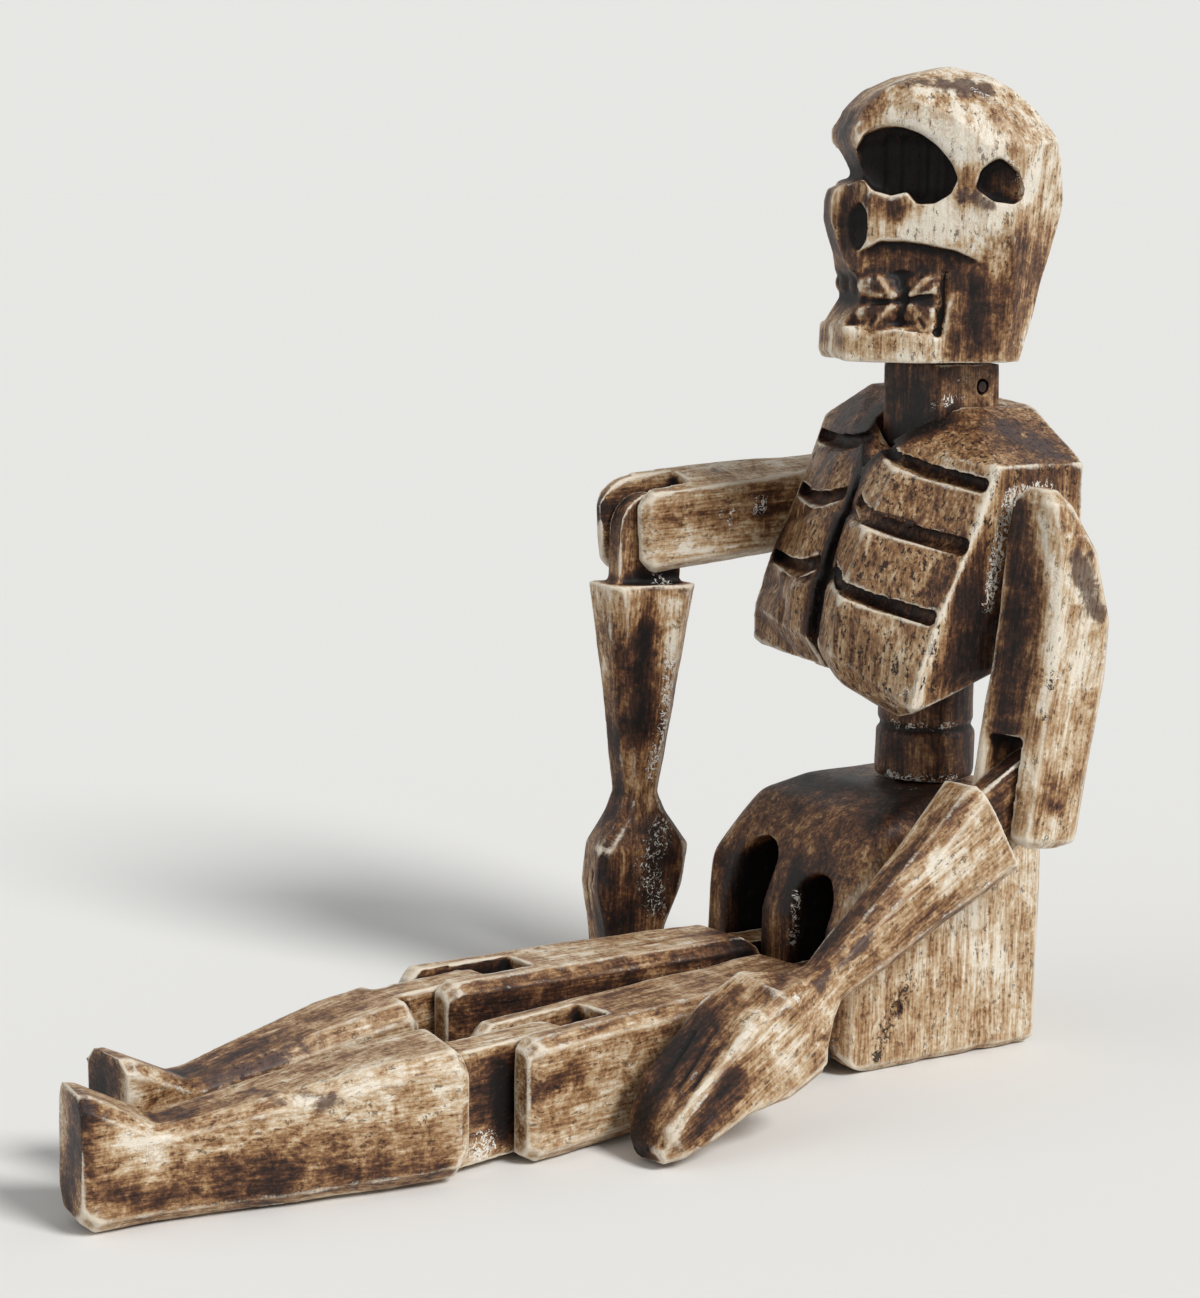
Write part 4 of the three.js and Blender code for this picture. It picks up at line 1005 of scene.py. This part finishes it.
class PUPPET_OT_pins(bpy.types.Operator):
    """Sink the limbs' pins below their filler, and give every pin its end grain"""
    bl_idname = "puppet.pins"
    bl_label = "Pins"

    def execute(self, context):
        wood = dowelled(context.scene.puppet_colours)
        neck_pin = frame["nodes"]["neck_pin"].data
        neck_pin.materials.clear()
        neck_pin.materials.append(wood)
        for limb in ("shoulder", "elbow", "hip", "knee"):
            for side in SIDES:
                node = f"{limb}_pin_{side}"
                pin = copied(node, f"sunk_{node}")
                sink_end(pin.data, f"{limb}_{side}")
                place_piece(pin, node, wood)
        return {"FINISHED"}


# Stage

CAMERA_PLACE = Vector((0.55797, -0.43939, 0.21011))
CAMERA_BACK = Vector((0.83308, -0.52928, 0.16074))
CAMERA_ROLL = math.radians(0.8)
CAMERA_LENS = 81.05
CAMERA_SENSOR = 36.0
CAMERA_NEAR = 10 * MM
KEY_TOWARDS = (0.74, 0.24, 0.68)
FILL_TOWARDS = (-0.2, -0.75, 0.5)
ROOM_TINT = (0.97, 0.99, 1.0, 1.0)
ROOM_LIGHT = 0.36
BACKDROP = (0.797, 0.796, 0.777, 1.0)
SPECK = (0.7, 0.7, 0.7, 1.0)


def photo_camera():
    data = bpy.data.cameras.new("photo_camera")
    data.lens = CAMERA_LENS
    data.sensor_width = CAMERA_SENSOR
    data.clip_start = CAMERA_NEAR
    camera = new_object("photo_camera", data)
    level = CAMERA_BACK.to_track_quat("Z", "Y").to_matrix()
    turned = level @ Matrix.Rotation(CAMERA_ROLL, 3, "Z")
    camera.matrix_world = Matrix.Translation(CAMERA_PLACE) @ turned.to_4x4()
    bpy.context.scene.camera = camera


def soft_sun(name, towards, strength, spread):
    """A wide even light from a direction, with its spread in degrees."""
    data = bpy.data.lights.new(name, "SUN")
    data.energy = strength
    data.angle = math.radians(spread)
    light = new_object(name, data)
    light.rotation_euler = Vector(towards).to_track_quat("Z", "Y").to_euler()


def pale_world():
    """Even room light, with a plain pale backdrop where the camera sees past the floor."""
    world = bpy.data.worlds.new("pale_room")
    world.use_nodes = True
    tree = world.node_tree
    room = tree.nodes["Background"]
    room.inputs["Color"].default_value = ROOM_TINT
    room.inputs["Strength"].default_value = ROOM_LIGHT
    backdrop = tree.nodes.new("ShaderNodeBackground")
    backdrop.inputs["Color"].default_value = BACKDROP
    path = tree.nodes.new("ShaderNodeLightPath")
    seen = path.outputs["Is Camera Ray"]
    for ray in ("Is Glossy Ray", "Is Transmission Ray"):
        either = tree.nodes.new("ShaderNodeMath")
        either.operation = "MAXIMUM"
        tree.links.new(seen, either.inputs[0])
        tree.links.new(path.outputs[ray], either.inputs[1])
        seen = either.outputs[0]
    mixed = tree.nodes.new("ShaderNodeMixShader")
    tree.links.new(seen, mixed.inputs[0])
    tree.links.new(room.outputs[0], mixed.inputs[1])
    tree.links.new(backdrop.outputs[0], mixed.inputs[2])
    tree.links.new(mixed.outputs[0], tree.nodes["World Output"].inputs["Surface"])
    bpy.context.scene.world = world


def pale_floor(sizes, colours):
    bm = bmesh.new()
    bmesh.ops.create_grid(bm, x_segments=1, y_segments=1, size=sizes.floor / 2)
    mesh = bpy.data.meshes.new("floor")
    bm.to_mesh(mesh)
    bm.free()
    floor = new_object("floor", mesh)
    s = Shader("floor_paint")
    place = s.node("ShaderNodeTexCoord", {}, output="Object")
    speck = s.noise(place, scale=300.0, detail=2.0)
    tint = s.mix(speck * 0.05, (*colours.floor, 1.0), SPECK)
    paint = s.finish((speck, 0.03, 0.2 * MM), Base_Color=tint, Roughness=0.9, Specular_IOR_Level=0.0)
    mesh.materials.append(paint)


class PUPPET_OT_stage(bpy.types.Operator):
    """Set up the floor, the light and the camera"""
    bl_idname = "puppet.stage"
    bl_label = "Stage"

    def execute(self, context):
        context.scene.view_settings.view_transform = "Standard"
        pale_floor(context.scene.puppet_sizes, context.scene.puppet_colours)
        pale_world()
        soft_sun("key_light", KEY_TOWARDS, strength=2.6, spread=20)
        soft_sun("fill_light", FILL_TOWARDS, strength=0.35, spread=60)
        photo_camera()
        return {"FINISHED"}


OPERATORS = (
    PUPPET_OT_stage, PUPPET_OT_skull, PUPPET_OT_neck, PUPPET_OT_chest, PUPPET_OT_waist,
    PUPPET_OT_pelvis, PUPPET_OT_upper_arms, PUPPET_OT_forearms, PUPPET_OT_thighs, PUPPET_OT_shins,
    PUPPET_OT_pins,
)


class PUPPET_PT_panel(bpy.types.Panel):
    """Sizes, colours and pieces of the puppet"""
    bl_idname = "PUPPET_PT_panel"
    bl_label = "Skeleton puppet"
    bl_space_type = "VIEW_3D"
    bl_region_type = "UI"
    bl_category = "Puppet"

    def draw(self, context):
        for group in (context.scene.puppet_sizes, context.scene.puppet_colours):
            for name in group.bl_rna.properties.keys():
                if name not in ("rna_type", "name"):
                    self.layout.prop(group, name)
        for operator in OPERATORS:
            self.layout.operator(operator.bl_idname)


CLASSES = (PuppetSizes, PuppetColours, *OPERATORS, PUPPET_PT_panel)


def register():
    for cls in CLASSES:
        bpy.utils.register_class(cls)
    bpy.types.Scene.puppet_sizes = PointerProperty(type=PuppetSizes)
    bpy.types.Scene.puppet_colours = PointerProperty(type=PuppetColours)


def unregister():
    del bpy.types.Scene.puppet_colours
    del bpy.types.Scene.puppet_sizes
    for cls in reversed(CLASSES):
        bpy.utils.unregister_class(cls)


def main():
    register()
    for operator in OPERATORS:
        group, name = operator.bl_idname.split(".")
        getattr(getattr(bpy.ops, group), name)()


if __name__ == "__main__":
    main()
